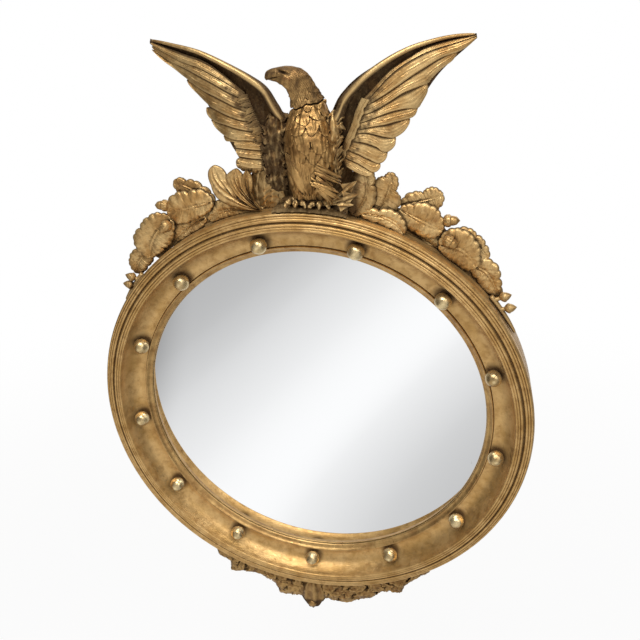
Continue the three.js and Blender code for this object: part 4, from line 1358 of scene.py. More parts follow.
@dataclass
class Loft:
    """Smooth form through oval sections: (aside, proud, rise, half width, half depth, tilt)."""

    sections: Sequence[Section]

    def __post_init__(self) -> None:
        """Draws the middle line, the half widths and the across directions."""
        rows = np.array(self.sections, float)
        across = unit(stack(np.where(rows[:, 5] < 0, -1, 1), np.abs(rows[:, 5])))
        self.table = smooth_line(np.column_stack([rows[:, :5], across * 20]), 240)

    def point(self, u: np.ndarray, turn: np.ndarray, room: np.ndarray | float = 0) -> np.ndarray:
        """Places on the form.

        Args:
            u: Shares from the first to the last section.
            turn: Turns around it: 0 is to the right, -90 degrees is in front.
            room: How far outside the form.

        Returns:
            Array of places.
        """
        aside, proud, rise, half, deep, right, up = along(self.table, u).T
        right, up = unit(stack(right, up)).T
        end = np.sqrt(np.clip(1 - (2 * u - 1) ** 220, 0, 1))
        half = (half + room) * end * np.cos(turn)
        y = -CREST_DEPTH - proud + (deep + room) * end * np.sin(turn)
        return stack(BODY_X + aside + right * half, y, PERCH_TOP + rise + up * half)


def neck_wave(places: np.ndarray) -> np.ndarray:
    """Places moved so that both sides of the neck joint get the same wavy edge."""
    x = places[:, 0] - BODY_X
    wave = 1.1 * np.sin(x * 0.33 + 0.8) + 0.5 * np.sin(x * 0.83)
    wave *= gauss(places[:, 2], PERCH_TOP + NECK_RISE + 0.29 * x, 5)
    return places + np.outer(wave, [0, 0, 1])


@dataclass
class Eagle:
    """The bird between the wings: its body, its head, its perch and the arrows it holds."""

    dresser: Dresser
    pattern: Piece
    feet: tuple[float, float] = (-8.0, 18.5)

    def body(self) -> None:
        """Body with scale feathers on the breast and long shaggy ones over the legs."""
        loft = Loft(BODY_SECTIONS)

        def shape(u: np.ndarray, turn: np.ndarray) -> np.ndarray:
            """Places on the feathered body."""
            plain = loft.point(u, turn)
            down = (1 - u) * 8.2 + 0.3 * np.cos(turn * 2) + 0.22 * ripple(plain, 30, 41)
            around = turn * 9.5 / (2 * math.pi) + 20 + 0.2 * ripple(plain, 24, 42)
            low = np.clip((0.4 - u) / 0.12, 0, 1)
            soft = 1 - 0.3 * np.clip((BODY_X - 8 - plain[:, 0]) / 10, 0, 1)
            scale = scallops(around, down, 4) * 2.4 * soft - 1.2 + hair(plain, 3.0, 46) * 0.5
            shag = 0.2 + 1.2 * hair(plain, 3.6, 47)
            proud = scale * (1 - low) + shag * low + ripple(plain, 9, 5) * 0.55
            return neck_wave(loft.point(u, turn, proud))

        body = Bench.round_form(220, 190, shape)
        p = Bench.places(body)
        left = np.clip((BODY_X - 14 - p[:, 0]) / 11, 0, 1) * 0.75
        Bench.paint(body, np.clip(left - 0.12 * ripple(p, 10, 6), 0, 0.85))
        whole = Bench.assemble([body, *self.thigh_feathers(), *self.legs()])
        self.dresser.settle(whole, "carved_body", Look.BREAST, "eagle_body", 60, (6, 1.3))

    def strip(self, path: Line, half: Sequence[float], relief: float, tone_and_shade: float) -> Piece:
        """Copy of the feather pattern laid along a path.

        Args:
            path: Its middle line as (aside from the bird's middle, proud, rise).
            half: Half widths from root to tip.
            relief: Thickness.
            tone_and_shade: How brown it is.

        Returns:
            The feather in place.
        """
        piece, u, v, h = Bench.slab(self.pattern)
        line = smooth_line(path, 60)
        aside, proud, rise = along(line, u).T
        tangent = unit(along(np.gradient(line, axis=0), u))
        right, up = unit(stack(tangent[:, 2], -tangent[:, 0])).T
        width = np.interp(u, np.linspace(0, 1, len(half)), half)
        across = v * width * np.sqrt(np.clip(1 - u**6, 0.0004, 1))
        proud += np.where(h < BEHIND, -2.5, h * relief) - 0.35 * across**2 / max(*half, 1)
        x, z = BODY_X + aside + right * across, PERCH_TOP + rise + up * across
        Bench.move(piece, stack(x, -CREST_DEPTH - proud, z))
        Bench.paint(piece, tone_and_shade)
        return piece

    def thigh_feathers(self) -> list[Piece]:
        """Shaggy feathers down the left thigh and ragged ones that fan out at the right."""
        rng = np.random.default_rng(14)
        thigh = [(-13, 26, 52), (-8, 31, 38), (-3, 28, 24), (3, 21, 12)]
        pieces = [self.strip(thigh, [3, 7.5, 6, 2], 1.4, 0.0)]
        for t in np.linspace(0, 1, 16):
            x, slip = -21 + 30 * t, rng.uniform(-2, 2)
            bow = 26 + 6 * math.sin(math.pi * t)
            middle, end = (x * 0.8 + 2, bow - 1, 38), (x * 0.45 + 2, bow - 7, 15 + slip)
            tone_and_shade = max(0.0, 0.55 - t + rng.uniform(-0.2, 0.3))
            half = [1.5, rng.uniform(1.8, 2.8), rng.uniform(0.8, 1.6)]
            pieces.append(self.strip([(x, bow - 3, 57 + slip), middle, end], half, 1.3, tone_and_shade))
        for _ in range(22):
            t = rng.uniform(0, 1)
            jog, slip = rng.uniform(-8, 3.0), rng.uniform(-5, 5)
            start = (5 + 4 * t + rng.uniform(-3, 6), 28.5 - 2 * t, 54 - 34 * t)
            middle = (17 + 5 * t, 27 - 2 * t + 0.25 * slip, 45 - 30 * t + slip * 0.7)
            end = (31 + 5 * math.sin(3 * t + 0.4) + jog, 20 - 2 * t, 34 - 27 * t + slip)
            half = [1.2, rng.uniform(1.2, 2.6), rng.uniform(0.5, 1.3)]
            tone_and_shade = max(0.0, rng.uniform(-0.3, 0.6))
            pieces.append(self.strip([start, middle, end], half, 1.1, tone_and_shade))
        return pieces

    def legs(self) -> list[Piece]:
        """Two short shins."""
        pieces = []
        for x in self.feet:
            path = [(x, -47, 288.4), (x, -47.5, 296), (x * 0.95, -49, 306), (x * 0.9, -48, 312)]
            pieces.append(Bench.tube(path, [4.0, 4.4, 6.0, 8.0], 20, 30))
            Bench.paint(pieces[-1], 0.4)
        return pieces

    def head(self) -> None:
        """Head in profile to the left: heavy brow, deep eye slit, hooked beak, ruffled nape."""
        loft = Loft(HEAD_SECTIONS)

        def shape(u: np.ndarray, turn: np.ndarray) -> np.ndarray:
            """Places on the feathered head."""
            plain = loft.point(u, turn)
            down = (0.6 - u) * 11 + 0.4 * ripple(plain, 18, 43)
            scale = scallops(turn * 7 / (2 * math.pi) + 16, down + 12, 8) * 1.1 - 0.5
            streaks = np.sin(turn * 46 + 4 * ripple(plain, 14, 44)) * np.clip(2 - 3 * u, 0, 1)
            lumps = ripple(plain, 7, 12) * np.clip(1.6 - 2 * u, 0, 1)
            neck = scale * np.clip((0.3 - u) / 0.16, 0, 1)
            return neck_wave(loft.point(u, turn, neck + 0.34 * streaks + 0.5 * lumps))

        head = Bench.round_form(160, 150, shape)
        p = Bench.places(head)
        x, z = p[:, 0] - BODY_X, p[:, 2] - PERCH_TOP - NECK_RISE
        facing = np.clip((-p[:, 1] - CREST_DEPTH - 18) / 5, -1, 1)
        marks = {}
        for mark, cx, cz, rx, rz, lean, height in (
            ("brow", -19.5, 35.0, 7.5, 1.5, -0.22, 1.9),
            ("slit", -20.5, 32.4, 5.2, 1.1, -0.25, -2.6),
            ("eye", -20.3, 31.2, 2.2, 1.2, 0, 1.5), ("cheek", -15.5, 26.5, 5, 3.4, 0, 0.9),
            ("gape", -29.5, 27.6, 7.5, 0.6, 0.2, -1.5), ("cere", -28, 31.5, 1.0, 3.2, 0, -0.6),
            ("nostril", -30.6, 31.6, 1.0, 0.7, 0, -0.9),
        ):
            marks[mark] = gauss(x, cx, rx) * gauss(z - lean * (x - cx), cz, rz) * height
        p[:, 1] -= sum(marks.values()) * np.sign(facing) * (np.abs(facing) > 0.15)
        Bench.move(head, p)
        # Painted shade in the eye slit and along the gape; the beak's tip, the nape and the crown are
        # painted darker too.
        dark = np.clip((-x - 27) / 8, 0, 0.7) + np.clip(-marks["slit"] * 0.5, 0, 0.9)
        dark += np.clip(-marks["gape"] * 0.6, 0, 0.8)
        dark += np.clip((x - 5) / 8, 0, 0.5) + np.clip((z - 33) / 10, 0, 0.3)
        mottle = -0.38 * ripple(p, 8, 45) - 0.2 * hair(p, 5, 46)
        Bench.paint(head, np.clip(dark + mottle, 0, 0.9))
        self.dresser.settle(head, "carved_head", Look.HEAD, "eagle_head", 60, (6, 1.0))

    def plinth(self) -> Piece:
        """The perch's own wood, shaped to the ring below it."""
        piece = Bench.sheet(90, 16)
        t, v, h = Bench.places(piece, 1).T
        x, share, back = -37 + 85.3 * t, (v + 1) / 2, h < BEHIND
        low = np.sqrt(FRAME_R**2 - x**2) + 0.3
        high = PERCH_TOP - 1.5 - (2 * t - 1) ** 4 * 7 - low
        y = -(53 - 21 * (1 - np.cos(share * QUARTER)) ** 0.7)
        z = low + high * np.sin(share * QUARTER) ** 0.5
        wavy = ripple(stack(x, y, z), 7, 31) * 1.1
        y = np.where(back, -33.5, y - wavy)
        z = np.where(back, low + high * share * 0.4, z + wavy * (share > 0.3) * (share < 1))
        Bench.move(piece, stack(x, y, np.maximum(z, low)))
        Bench.outward(piece)
        # Painted shade: the plinth is painted dark, as the ground under the toes.
        Bench.paint(piece, 0.74)
        return piece

    def toe(self, foot: float, k: int) -> Piece:
        """One knuckled toe with its claw.

        Args:
            foot: Where its foot is, sideways.
            k: -1, 0 or 1 for the left, middle or right toe.

        Returns:
            The toe in place.
        """
        x, high = foot + k * 7.6, 0.8 * math.sin(foot + 2.1 * k)
        path = [
            (foot + k * 2.6, -46, 290 + high), (x - k, -50.5, 291.4 + high),
            (x + k * 0.5, -54.6, 290.0 + high), (x + k * 2.6, -56.6, 288.2 + high),
            (x + k * 3.6, -57.2, 286.6), (x + k * 3.2, -56.6, 285.2),
        ]
        toe = Bench.tube(path, [2.6, 3.7, 2.5, 3.4, 2.3, 1.0], 16, 40)
        p = Bench.places(toe)
        worn_and_highlit = ripple(p, 4, 61 + k)
        p[:, 1] -= 0.9 * worn_and_highlit
        p[:, 2] += 0.6 * ripple(p, 5, 67 + k)
        Bench.move(toe, p)
        # Painted shade in the dents between the knuckles; the knuckles stay pale.
        Bench.paint(toe, np.clip(0.1 - 0.7 * worn_and_highlit, 0, 0.8))
        return toe

    def perch(self) -> None:
        """Plinth with its mound and peg, gripped by three toes of each foot."""
        parts = [self.plinth(), *(self.toe(foot, k) for foot in self.feet for k in (-1, 0, 1))]
        radii = np.array([[0, 0, 6.5], [0, 8, 0], [-34, 0, 0]])
        mound = Bench.egg(60, 40, [BODY_X, -43, 290.5], radii)
        p = Bench.places(mound)
        p[:, 1] -= ripple(p, 5, 71) * 0.9
        Bench.move(mound, p)
        # Painted shade: the mound under the body is painted dark.
        Bench.paint(mound, 0.85)
        peg = Bench.tube([(BODY_X, -44, z) for z in (265.2, 272, 282)], [4.7] * 3, 32, 24)
        Bench.paint(peg, 0.0)
        whole = Bench.assemble([*parts, mound, peg])
        self.dresser.settle(whole, "carved_perch", Look.CARVING, "perch", 55, (5, 0.9))

    def arrows(self) -> None:
        """Three barbed arrows held against the right foot."""
        grip = np.array([BODY_X + 22.5, -50.0, 290.2])
        parts = []
        for beside, proud, rise in ((54, 18, 31), (56, 22, 18), (51, 19, 5)):
            tip = np.array([BODY_X + beside, -CREST_DEPTH - proud, PERCH_TOP + rise])
            frame_axes = axes(grip, tip)
            neck = tip - frame_axes[0] * 14

            def barb(u: np.ndarray, turn: np.ndarray) -> np.ndarray:
                """Places on a four-edged head that is widest near its barbs."""
                runs, halves = [0, 0.1, 0.22, 0.4, 0.6, 0.8, 1], [0, 3.2, 8.8, 5.0, 3.2, 1.7, 0.1]
                half = np.interp(u, runs, halves) * (1 - 0.5 * np.abs(np.sin(2 * turn)))
                swept = np.interp(u, [0, 0.22, 0.34, 1], [5.5, 0.0, 5.0, 19.0]) - 19
                run = stack(swept, half * np.cos(turn), half * 0.5 * np.sin(turn))
                return tip + run @ frame_axes

            shaft = Bench.tube([grip, (grip + neck) / 2, neck], [1.9, 1.8, 1.6], 14, 26)
            Bench.paint(shaft, 0.3)
            head = Bench.round_form(32, 30, barb)
            # Painted light and shade: the head's flanks are painted dark between its pale edges.
            aside = np.abs((Bench.places(head) - tip) @ frame_axes[1])
            Bench.paint(head, np.clip(0.95 - np.abs(aside - 2.6) / 1.7, 0, 0.85))
            parts += [shaft, head]
        parts.append(Bench.egg(24, 16, grip, np.diag([3.4, 3.0, -2.6])))
        Bench.paint(parts[-1], 0.3)
        whole = Bench.assemble(parts)
        self.dresser.settle(whole, "carved_arrows", Look.CARVING, "arrow_sheaf", 40, (4, 0.8))


# ---------- Oak sprays ----------


FULLNESS = 1.08
NOTCH_DEPTH = 0.93


class Form(Enum):
    """Ways that a leaf is carved."""

    OAK = "lobed, with veins"
    CURL = "fluted and curled"
    FAN = "striated"


@dataclass(frozen=True)
class Leaf:
    """One leaf: its ends and the notches of both sides, as (x, height over the perch)."""

    node: str
    layer: float
    base: tuple[float, float]
    tip: tuple[float, float]
    left: Line
    right: Line
    form: Form = Form.OAK
    # How dark the leaf is painted: its own tone, and painted shade on leaves that lie under and
    # behind others, such as the dark curls that fill the gaps by the tail.
    tone_and_shade: float = 0.0

    def side(self, notches: Line, u: np.ndarray) -> tuple[np.ndarray, np.ndarray]:
        """Outline of one side, with a round lobe between each two notches.

        Args:
            notches: The side's notches from base to tip.
            u: Shares of the side's length.

        Returns:
            The places, and the count of lobes passed.
        """
        oak = self.form is Form.OAK
        corners = np.array([self.base, *notches, self.tip], float)
        middle = np.array([self.base, *self.left, *self.right, self.tip], float).mean(0)
        if self.layer >= 0 and oak:
            corners = middle + (corners - middle) * FULLNESS
            corners[1:-1] = middle + (corners[1:-1] - middle) * NOTCH_DEPTH
        spans = np.linalg.norm(np.diff(corners, axis=0), axis=1)
        ends = np.concatenate([[0], np.cumsum(spans)]) / spans.sum()
        lobe = np.clip(np.searchsorted(ends, u, "right") - 1, 0, len(spans) - 1)
        share = (u - ends[lobe]) / (ends[lobe + 1] - ends[lobe])
        a, b = corners[lobe], corners[lobe + 1]
        out = stack(b[:, 1] - a[:, 1], a[:, 0] - b[:, 0])
        away = np.sign(np.sum(out * ((a + b) / 2 - middle), axis=1))
        bulge = (0.14 if oak else 0.1) * np.sin(math.pi * np.clip(share, 0, 1)) ** 0.6
        if oak:
            bulge += 0.1 * np.abs(np.sin(2 * math.pi * (share + 0.04 * np.sin(9 * u)))) ** 0.5
        return a + (b - a) * share[:, None] + out * (bulge * away)[:, None], lobe + share


LEAVES = [
    Leaf("tail_fan", 0, (-42.6, 51.8), (-47.7, -14.4),
         [(-59.2, 35.2), (-67.5, 12.2), (-62.9, -14.1)],
         [(-32.6, 42.1), (-27.3, 13.8), (-27.2, -12.4)], form=Form.FAN, tone_and_shade=0.1),
    Leaf("left_curled_inner", 1.0, (-47.5, 39.0), (-79.6, 38.4),
         [(-58.6, 46.3), (-71.2, 47.1)],
         [(-56.3, 31.1), (-70.1, 30.6)], tone_and_shade=0.1),
    Leaf("left_curled_inner", 2.0, (-52.7, -10.9), (-79.3, 34.2),
         [(-71.2, -4.6), (-86.2, 11.7), (-91.9, 24.8)],
         [(-62.3, 1.2), (-70.2, 12.3), (-71.8, 26.6)], form=Form.CURL),
    Leaf("left_curled_inner", 2.3, (-58.8, -3.3), (-66.1, 33.9),
         [(-69.3, 8.7), (-72.7, 22.9)],
         [(-62.4, 8.0), (-59.7, 21.4)], form=Form.CURL, tone_and_shade=0.1),
    Leaf("left_curled_outer", 1.6, (-53.6, -12.1), (-106.7, 36.3),
         [(-83.4, -11.4), (-104.1, -2.3), (-111.3, 13.1), (-113.1, 29.6)],
         [(-80.3, 1.4), (-90.8, 20.1), (-96.5, 32.6)], form=Form.CURL),
    Leaf("left_leaf_under", 0, (-64.2, -16.9), (-119.6, -30.5),
         [(-84.6, -9.7), (-105.4, -7.4), (-117.9, -17.7)],
         [(-80.9, -20.7), (-94.5, -25.3), (-107.2, -29.9)]),
    Leaf("left_leaf_top", 0, (-115.1, -8.4), (-160.7, 11.2),
         [(-126.9, 8.2), (-146.5, 13.8), (-152.1, 17.4)],
         [(-133.2, -6.4), (-154.1, -0.8)], tone_and_shade=0.25),
    Leaf("left_leaf_broad", 1, (-115.2, -7.5), (-169.0, -21.5),
         [(-122.0, 3.3), (-142.1, 1.4), (-159.3, -1.5)],
         [(-122.1, -20.8), (-131.1, -25.6), (-142.0, -30.5), (-163.8, -32.1)]),
    Leaf("left_leaf_low", 0, (-126.8, -29.1), (-165.6, -57.5),
         [(-146.9, -30.1), (-167.5, -39.0)],
         [(-133.2, -42.4), (-144.1, -48.4), (-153.6, -54.8)]),
    Leaf("left_leaf_low", -0.3, (-70.4, -19.3), (-215.4, -101.1),
         [(-98.9, -14.8), (-116.8, -15.6), (-143.5, -33.9), (-170.2, -45.4), (-198.2, -71.3)],
         [(-100.1, -31.0), (-132.9, -43.4), (-165.0, -62.3), (-195.0, -84.1)], tone_and_shade=0.55),
    Leaf("left_leaf_long", 1, (-168.5, -32.5), (-199.3, -79.4),
         [(-180.3, -25.3), (-196.1, -31.0), (-207.7, -44.2), (-218.3, -60.9), (-211.4, -74.9)],
         [(-166.5, -45.9), (-170.2, -57.4), (-180.2, -67.2), (-190.8, -76.0)], tone_and_shade=0.05),
    Leaf("left_leaf_end", 0, (-205.2, -77.4), (-222.8, -104.9),
         [(-220.5, -74.5), (-230.4, -85.6), (-231.6, -97.7)],
         [(-200.7, -84.9), (-209.2, -95.1)], tone_and_shade=0.2),
    Leaf("right_leaf_inner", 2, (54.2, -11.2), (62.2, 39.1),
         [(54.0, 6.5), (56.4, 24.4)],
         [(68.8, -7.1), (77.4, 7.5), (74.6, 21.4), (76.3, 31.4)], tone_and_shade=0.2),
    Leaf("right_leaf_inner", 0.6, (55.6, 4.1), (66.6, 42.2),
         [(50.8, 23.3), (54.7, 38.6)],
         [(70.8, 17.6), (75.1, 32.5)], form=Form.CURL, tone_and_shade=0.4),
    Leaf("right_leaf_inner", 0.4, (39.3, -9.7), (71.4, -18.0),
         [(48.9, -2.3), (62.0, -6.0)],
         [(45.1, -15.3), (58.3, -18.6)], tone_and_shade=0.4),
    Leaf("right_leaf_tall", 1, (77.5, -12.0), (92.9, 32.8),
         [(77.0, 7.0), (78.1, 25.7), (86.6, 29.0)],
         [(96.3, -8.5), (105.0, 3.8), (97.6, 13.8), (101.2, 25.0)]),
    Leaf("right_leaf_under", 2, (64.5, -10.7), (109.5, -30.1),
         [(82.8, -7.2), (99.3, -7.5), (107.9, -14.9)],
         [(80.6, -19.7), (94.9, -26.6)]),
    Leaf("right_leaf_top", 0, (107.1, -2.0), (149.2, 9.6),
         [(117.4, 11.3), (128.7, 10.8), (134.6, 17.1), (145.9, 15.1)],
         [(122.3, -11.0), (137.5, -11.6), (147.0, -3.3)]),
    Leaf("right_leaf_broad", 1, (106.9, -6.4), (150.8, -26.8),
         [(119.8, -0.7), (137.3, -0.9), (149.3, -11.7)],
         [(110.1, -21.5), (123.2, -29.3), (135.5, -35.6), (147.3, -34.1)]),
    Leaf("right_leaf_low", 0, (106.5, -23.7), (151.3, -55.4),
         [(123.2, -30.3), (138.9, -36.8), (152.2, -45.5)],
         [(113.2, -37.4), (126.6, -45.3), (138.9, -53.4)]),
    Leaf("right_leaf_low", -0.3, (62.8, -15.2), (223.6, -105.6),
         [(91.2, -7.8), (109.5, -13.5), (138.1, -24.0), (154.9, -29.8), (170.4, -50.5),
          (187.9, -63.1), (206.0, -81.4)],
         [(86.7, -30.7), (118.6, -45.4), (147.9, -58.7), (174.9, -76.5), (202.3, -97.2)], tone_and_shade=0.55),
    Leaf("right_leaf_back", 0, (166.5, -31.2), (203.4, -58.7),
         [(180.6, -26.2), (189.6, -33.2), (200.0, -44.0)],
         [(184.4, -51.7), (194.1, -62.0)]),
    Leaf("right_leaf_long", 1, (152.5, -44.6), (191.4, -66.3),
         [(157.9, -28.3), (173.7, -26.6), (187.4, -37.2), (194.4, -54.2)],
         [(157.2, -58.7), (169.6, -64.4), (180.2, -70.9)]),
    Leaf("right_leaf_end", 0, (187.7, -70.2), (218.0, -101.2),
         [(198.4, -59.6), (210.3, -63.7), (218.7, -82.5)],
         [(194.7, -84.2), (205.5, -98.1)]),
    Leaf("tail_fan", 0, (-14, -9), (-22, 46), [(-37, 2), (-40, 32)], [(4, 2), (-2, 40)],
         form=Form.CURL, tone_and_shade=0.8),
    Leaf("tail_fan", 0, (22, -2), (44, 40), [(20, 20), (30, 40)], [(42, 5), (52, 28)],
         form=Form.CURL, tone_and_shade=0.8),
]


@dataclass(frozen=True)
class Acorn:
    """One acorn in its cup, as (degrees from the top, height over the ring) of both ends."""

    node: str
    base: tuple[float, float]
    tip: tuple[float, float]
    layer: float
    length: float = 19.0


ACORNS = [
    Acorn("left_acorn_upper", (-31.6, 41.6), (-33.4, 48.0), 0),
    Acorn("left_acorn_lower", (-32.8, 25.6), (-36.1, 23.0), 1.75),
    Acorn("right_acorn_upper", (29.3, 31.7), (31.7, 40.7), 0),
    Acorn("right_acorn_lower", (31.3, 19.4), (34.2, 19.7), 1.75),
]


@dataclass(frozen=True)
class Stem:
    """One stem: its ends in degrees from the top, and (degrees, lean, length) of each bud."""

    side: Side
    start: float
    end: float
    buds: Line


STEMS = [
    Stem(Side.LEFT, 49, 58.5, [(51.2, 0.5, 12), (53.4, 0.5, 9)]),
    Stem(Side.RIGHT, 48.5, 59.5, [(49.8, 0.6, 16), (52.6, 0.7, 13)]),
]


@dataclass
class OakSpray:
    """Oak leaves, acorns and bud stems on both shoulders of the ring."""

    dresser: Dresser
    stem_depth: float = 34.0
    bud_depth: float = 36.0
    bud_length: float = 15.0

    def relief(self, form: Form, u: np.ndarray, v: np.ndarray, phase: np.ndarray) -> np.ndarray:
        """Height of a leaf's face: crown, midrib, veins, puffed lobes and tool strokes.

        Args:
            form: How the leaf is carved.
            u: Shares from base to tip.
            v: Shares from the midrib, -1 to 1.
            phase: Lobes passed along the side.

        Returns:
            Heights, about 0 to 1.
        """
        if form is Form.FAN:
            wander = 3.0 * np.sin(v * 4) + 2.5 * np.sin(u * 9 + v * 3)
            return 0.4 + 0.2 * ((v * 2.5 + 0.5) % 1) + 0.08 * np.sin(46 * u + wander)
        rib, fade = np.abs(v), np.clip(1.15 - u, 0, 1)
        strokes = hair(stack(u * 60, 0.0, v * 30), 5, 50)
        rough = 0.05 * ripple(stack(u * 60, v * 30, 0.0), 9, 40) + 0.025 * strokes
        face = 0.5 * (1 - rib**9) + rough
        if form is Form.CURL:
            flute = 0.34 * gauss(v, 0, 0.08) - 0.3 * gauss(rib, 0.22, 0.08)
            flute += 0.2 * gauss(rib, 0.42, 0.08)
            flute -= 0.2 * gauss(rib, 0.62, 0.07) * np.clip(1.4 - 1.6 * u, 0, 1)
            return face + flute * fade + 0.2 * np.sin(5 * u) * v
        midrib = 0.26 * gauss(v, 0, 0.05) - 0.08 * gauss(rib, 0.12, 0.05)
        puff = 0.12 * np.abs(np.sin(2 * math.pi * phase)) ** 0.7 * np.sin(math.pi * rib) ** 1.5
        veins = (0.5 + 0.5 * np.cos(4 * math.pi * (phase + 0.3 * (1 - rib) - 0.25))) ** 14
        veins = 0.11 * veins * np.clip(1.1 - rib, 0, 1) * np.clip(rib * 9, 0, 1)
        return face - 0.12 * gauss(v, 0, 0.25) + midrib * fade + puff + veins

    def lay(self, leaf: Leaf, pattern: Piece) -> Piece:
        """Fits a copy of the plain sheet between a leaf's two sides.

        Args:
            leaf: The leaf.
            pattern: Plain sheet.

        Returns:
            The leaf in place.
        """
        piece, u, v, h = Bench.slab(pattern)
        u, behind, on_right = np.clip(u, 0, 1), h < BEHIND, v > 0
        left, left_phase = leaf.side(leaf.left, u)
        right, right_phase = leaf.side(leaf.right, u)
        base, tip, t = np.array(leaf.base), np.array(leaf.tip), u[:, None]
        middle = 2 * np.array([*leaf.left, *leaf.right], float).mean(0) - (base + tip) / 2
        centre = (1 - t) ** 2 * base + 2 * t * (1 - t) * middle + t**2 * tip
        edge = np.where(on_right[:, None], right, left)
        spot = centre + (edge - centre) * np.abs(v)[:, None] + [0, PERCH_TOP]
        back = LAYER_BACK + leaf.layer * LAYER_STEP
        height = self.relief(leaf.form, u, v, np.where(on_right, right_phase, left_phase))
        height *= 5 * np.sin(math.pi * np.clip(0.12 + 0.8 * u, 0, 1)) ** 0.5
        lumps = ripple(stack(spot[:, 0], spot[:, 1], 0.0), 22, 60) * 0.5
        x, z = (spot * np.maximum(1, (FRAME_R + 0.05) / np.hypot(*spot.T))[:, None]).T
        Bench.move(piece, stack(x, -np.where(behind, back, back + 2 + height + lumps), z))
        # Painted shade: a dark rim along each side edge where the leaf is undercut, dark back and
        # side walls, and on the inner right leaves the part beside the arrows painted dark.
        undercut_shade = np.clip((np.abs(v) - 0.92) / 0.06, 0, 1) * 0.75
        wall_shade = np.where(np.abs(v) < 0.9, 0.6, 0.9)
        shaded = np.where(behind, wall_shade, np.maximum(leaf.tone_and_shade, undercut_shade))
        if leaf.node == "right_leaf_inner":
            shaded = np.maximum(shaded, np.clip((65 - x) / 9, 0, 0.85))
        Bench.paint(piece, shaded)
        Bench.outward(piece)
        return piece

    def acorn(self, nut: Acorn) -> Piece:
        """Acorn with a studded cup and a pointed nut."""
        ends = [on_ring(turn, FRAME_R + rise) for turn, rise in (nut.base, nut.tip)]
        depth = LAYER_BACK + nut.layer * LAYER_STEP + 6.6
        base, tip = ([x, -depth, z] for x, z in ends)

        def shape(u: np.ndarray, turn: np.ndarray) -> np.ndarray:
            """Places on the cup and the nut."""
            runs = [0, 0.02, 0.1, 0.22, 0.4, 0.45, 0.48, 0.62, 0.8, 0.93, 1]
            radii = [0, 3.2, 5.6, 6.9, 6.9, 6.5, 5.5, 5.4, 4.4, 1.6, 0]
            studs = 0.35 * np.sin(turn * 11 + (np.floor(u * 24) % 2) * math.pi) * np.sin(u * 75)
            radius = np.interp(u, runs, radii) + np.where((u < 0.42) & (u > 0.05), studs, 0)
            run = stack(nut.length * u, -radius * np.cos(turn), radius * np.sin(turn))
            return base + run @ axes(base, tip)

        piece = Bench.round_form(44, 48, shape)
        Bench.paint(piece, 0.1)
        return piece

    def bud(self, start: np.ndarray, end: np.ndarray) -> Piece:
        """Round bud at a stalk's end, that comes to a small point."""

        def shape(u: np.ndarray, turn: np.ndarray) -> np.ndarray:
            """Places on the bud."""
            cup = 6.2 * (1 + 0.16 * (u < 0.45))
            radius = cup * np.sin(math.pi * u) ** 0.8 * (1 - 0.35 * u)
            run = stack((u - 0.5) * self.bud_length, radius * np.cos(turn), radius * np.sin(turn))
            return end + run @ axes(start, end)

        return Bench.round_form(24, 20, shape)

    def stem(self, plan: Stem) -> Piece:
        """Thin stem down the ring's wall with round buds on short stalks.

        Args:
            plan: The stem's sizes.

        Returns:
            The stem in place.
        """

        def place(degrees: float, lift: float, depth: float) -> np.ndarray:
            """Place at degrees from the top and a height over the ring."""
            x, z = on_ring(plan.side.value * degrees, FRAME_R + lift)
            return np.array([x, -depth, z])

        line = [place(turn, 2.9, self.stem_depth) for turn in np.linspace(plan.start, plan.end, 8)]
        parts = [Bench.tube(line, [3.4, 3.0, 2.6, 1.6], 14, 60)]
        for at, lean, length in plan.buds:
            a = place(at, 2.6, self.stem_depth)
            b = place(at + lean, length, self.bud_depth)
            parts += [Bench.tube([a, (a + b) / 2, b], [3.0, 2.3, 2.6], 14, 24), self.bud(a, b)]
        whole = Bench.join(parts)
        p = Bench.places(whole)
        push = np.maximum(1, (FRAME_R + 0.4) / np.hypot(p[:, 0], p[:, 2]))
        Bench.move(whole, p * stack(push, 1.0, push))
        Bench.outward(whole, 1e-8)
        Bench.paint(whole, 0.3)
        return whole

    def build(self) -> None:
        """Makes both sprays."""
        settle = self.dresser.settle
        pattern = Bench.sheet(90, 44)
        for node in dict.fromkeys(leaf.node for leaf in LEAVES):
            blades = Bench.join([self.lay(leaf, pattern) for leaf in LEAVES if leaf.node == node])
            settle(blades, f"carved_{node}", Look.CARVING, node, 60, (6, 0.9))
        Bench.remove(pattern)
        for nut in ACORNS:
            settle(self.acorn(nut), f"carved_{nut.node}", Look.CARVING, nut.node, 50, (4, 0.6))
        for plan in STEMS:
            name = f"{plan.side.word}_bud_stem"
            settle(self.stem(plan), f"carved_{name}", Look.CARVING, name)


# ---------- Apron ----------


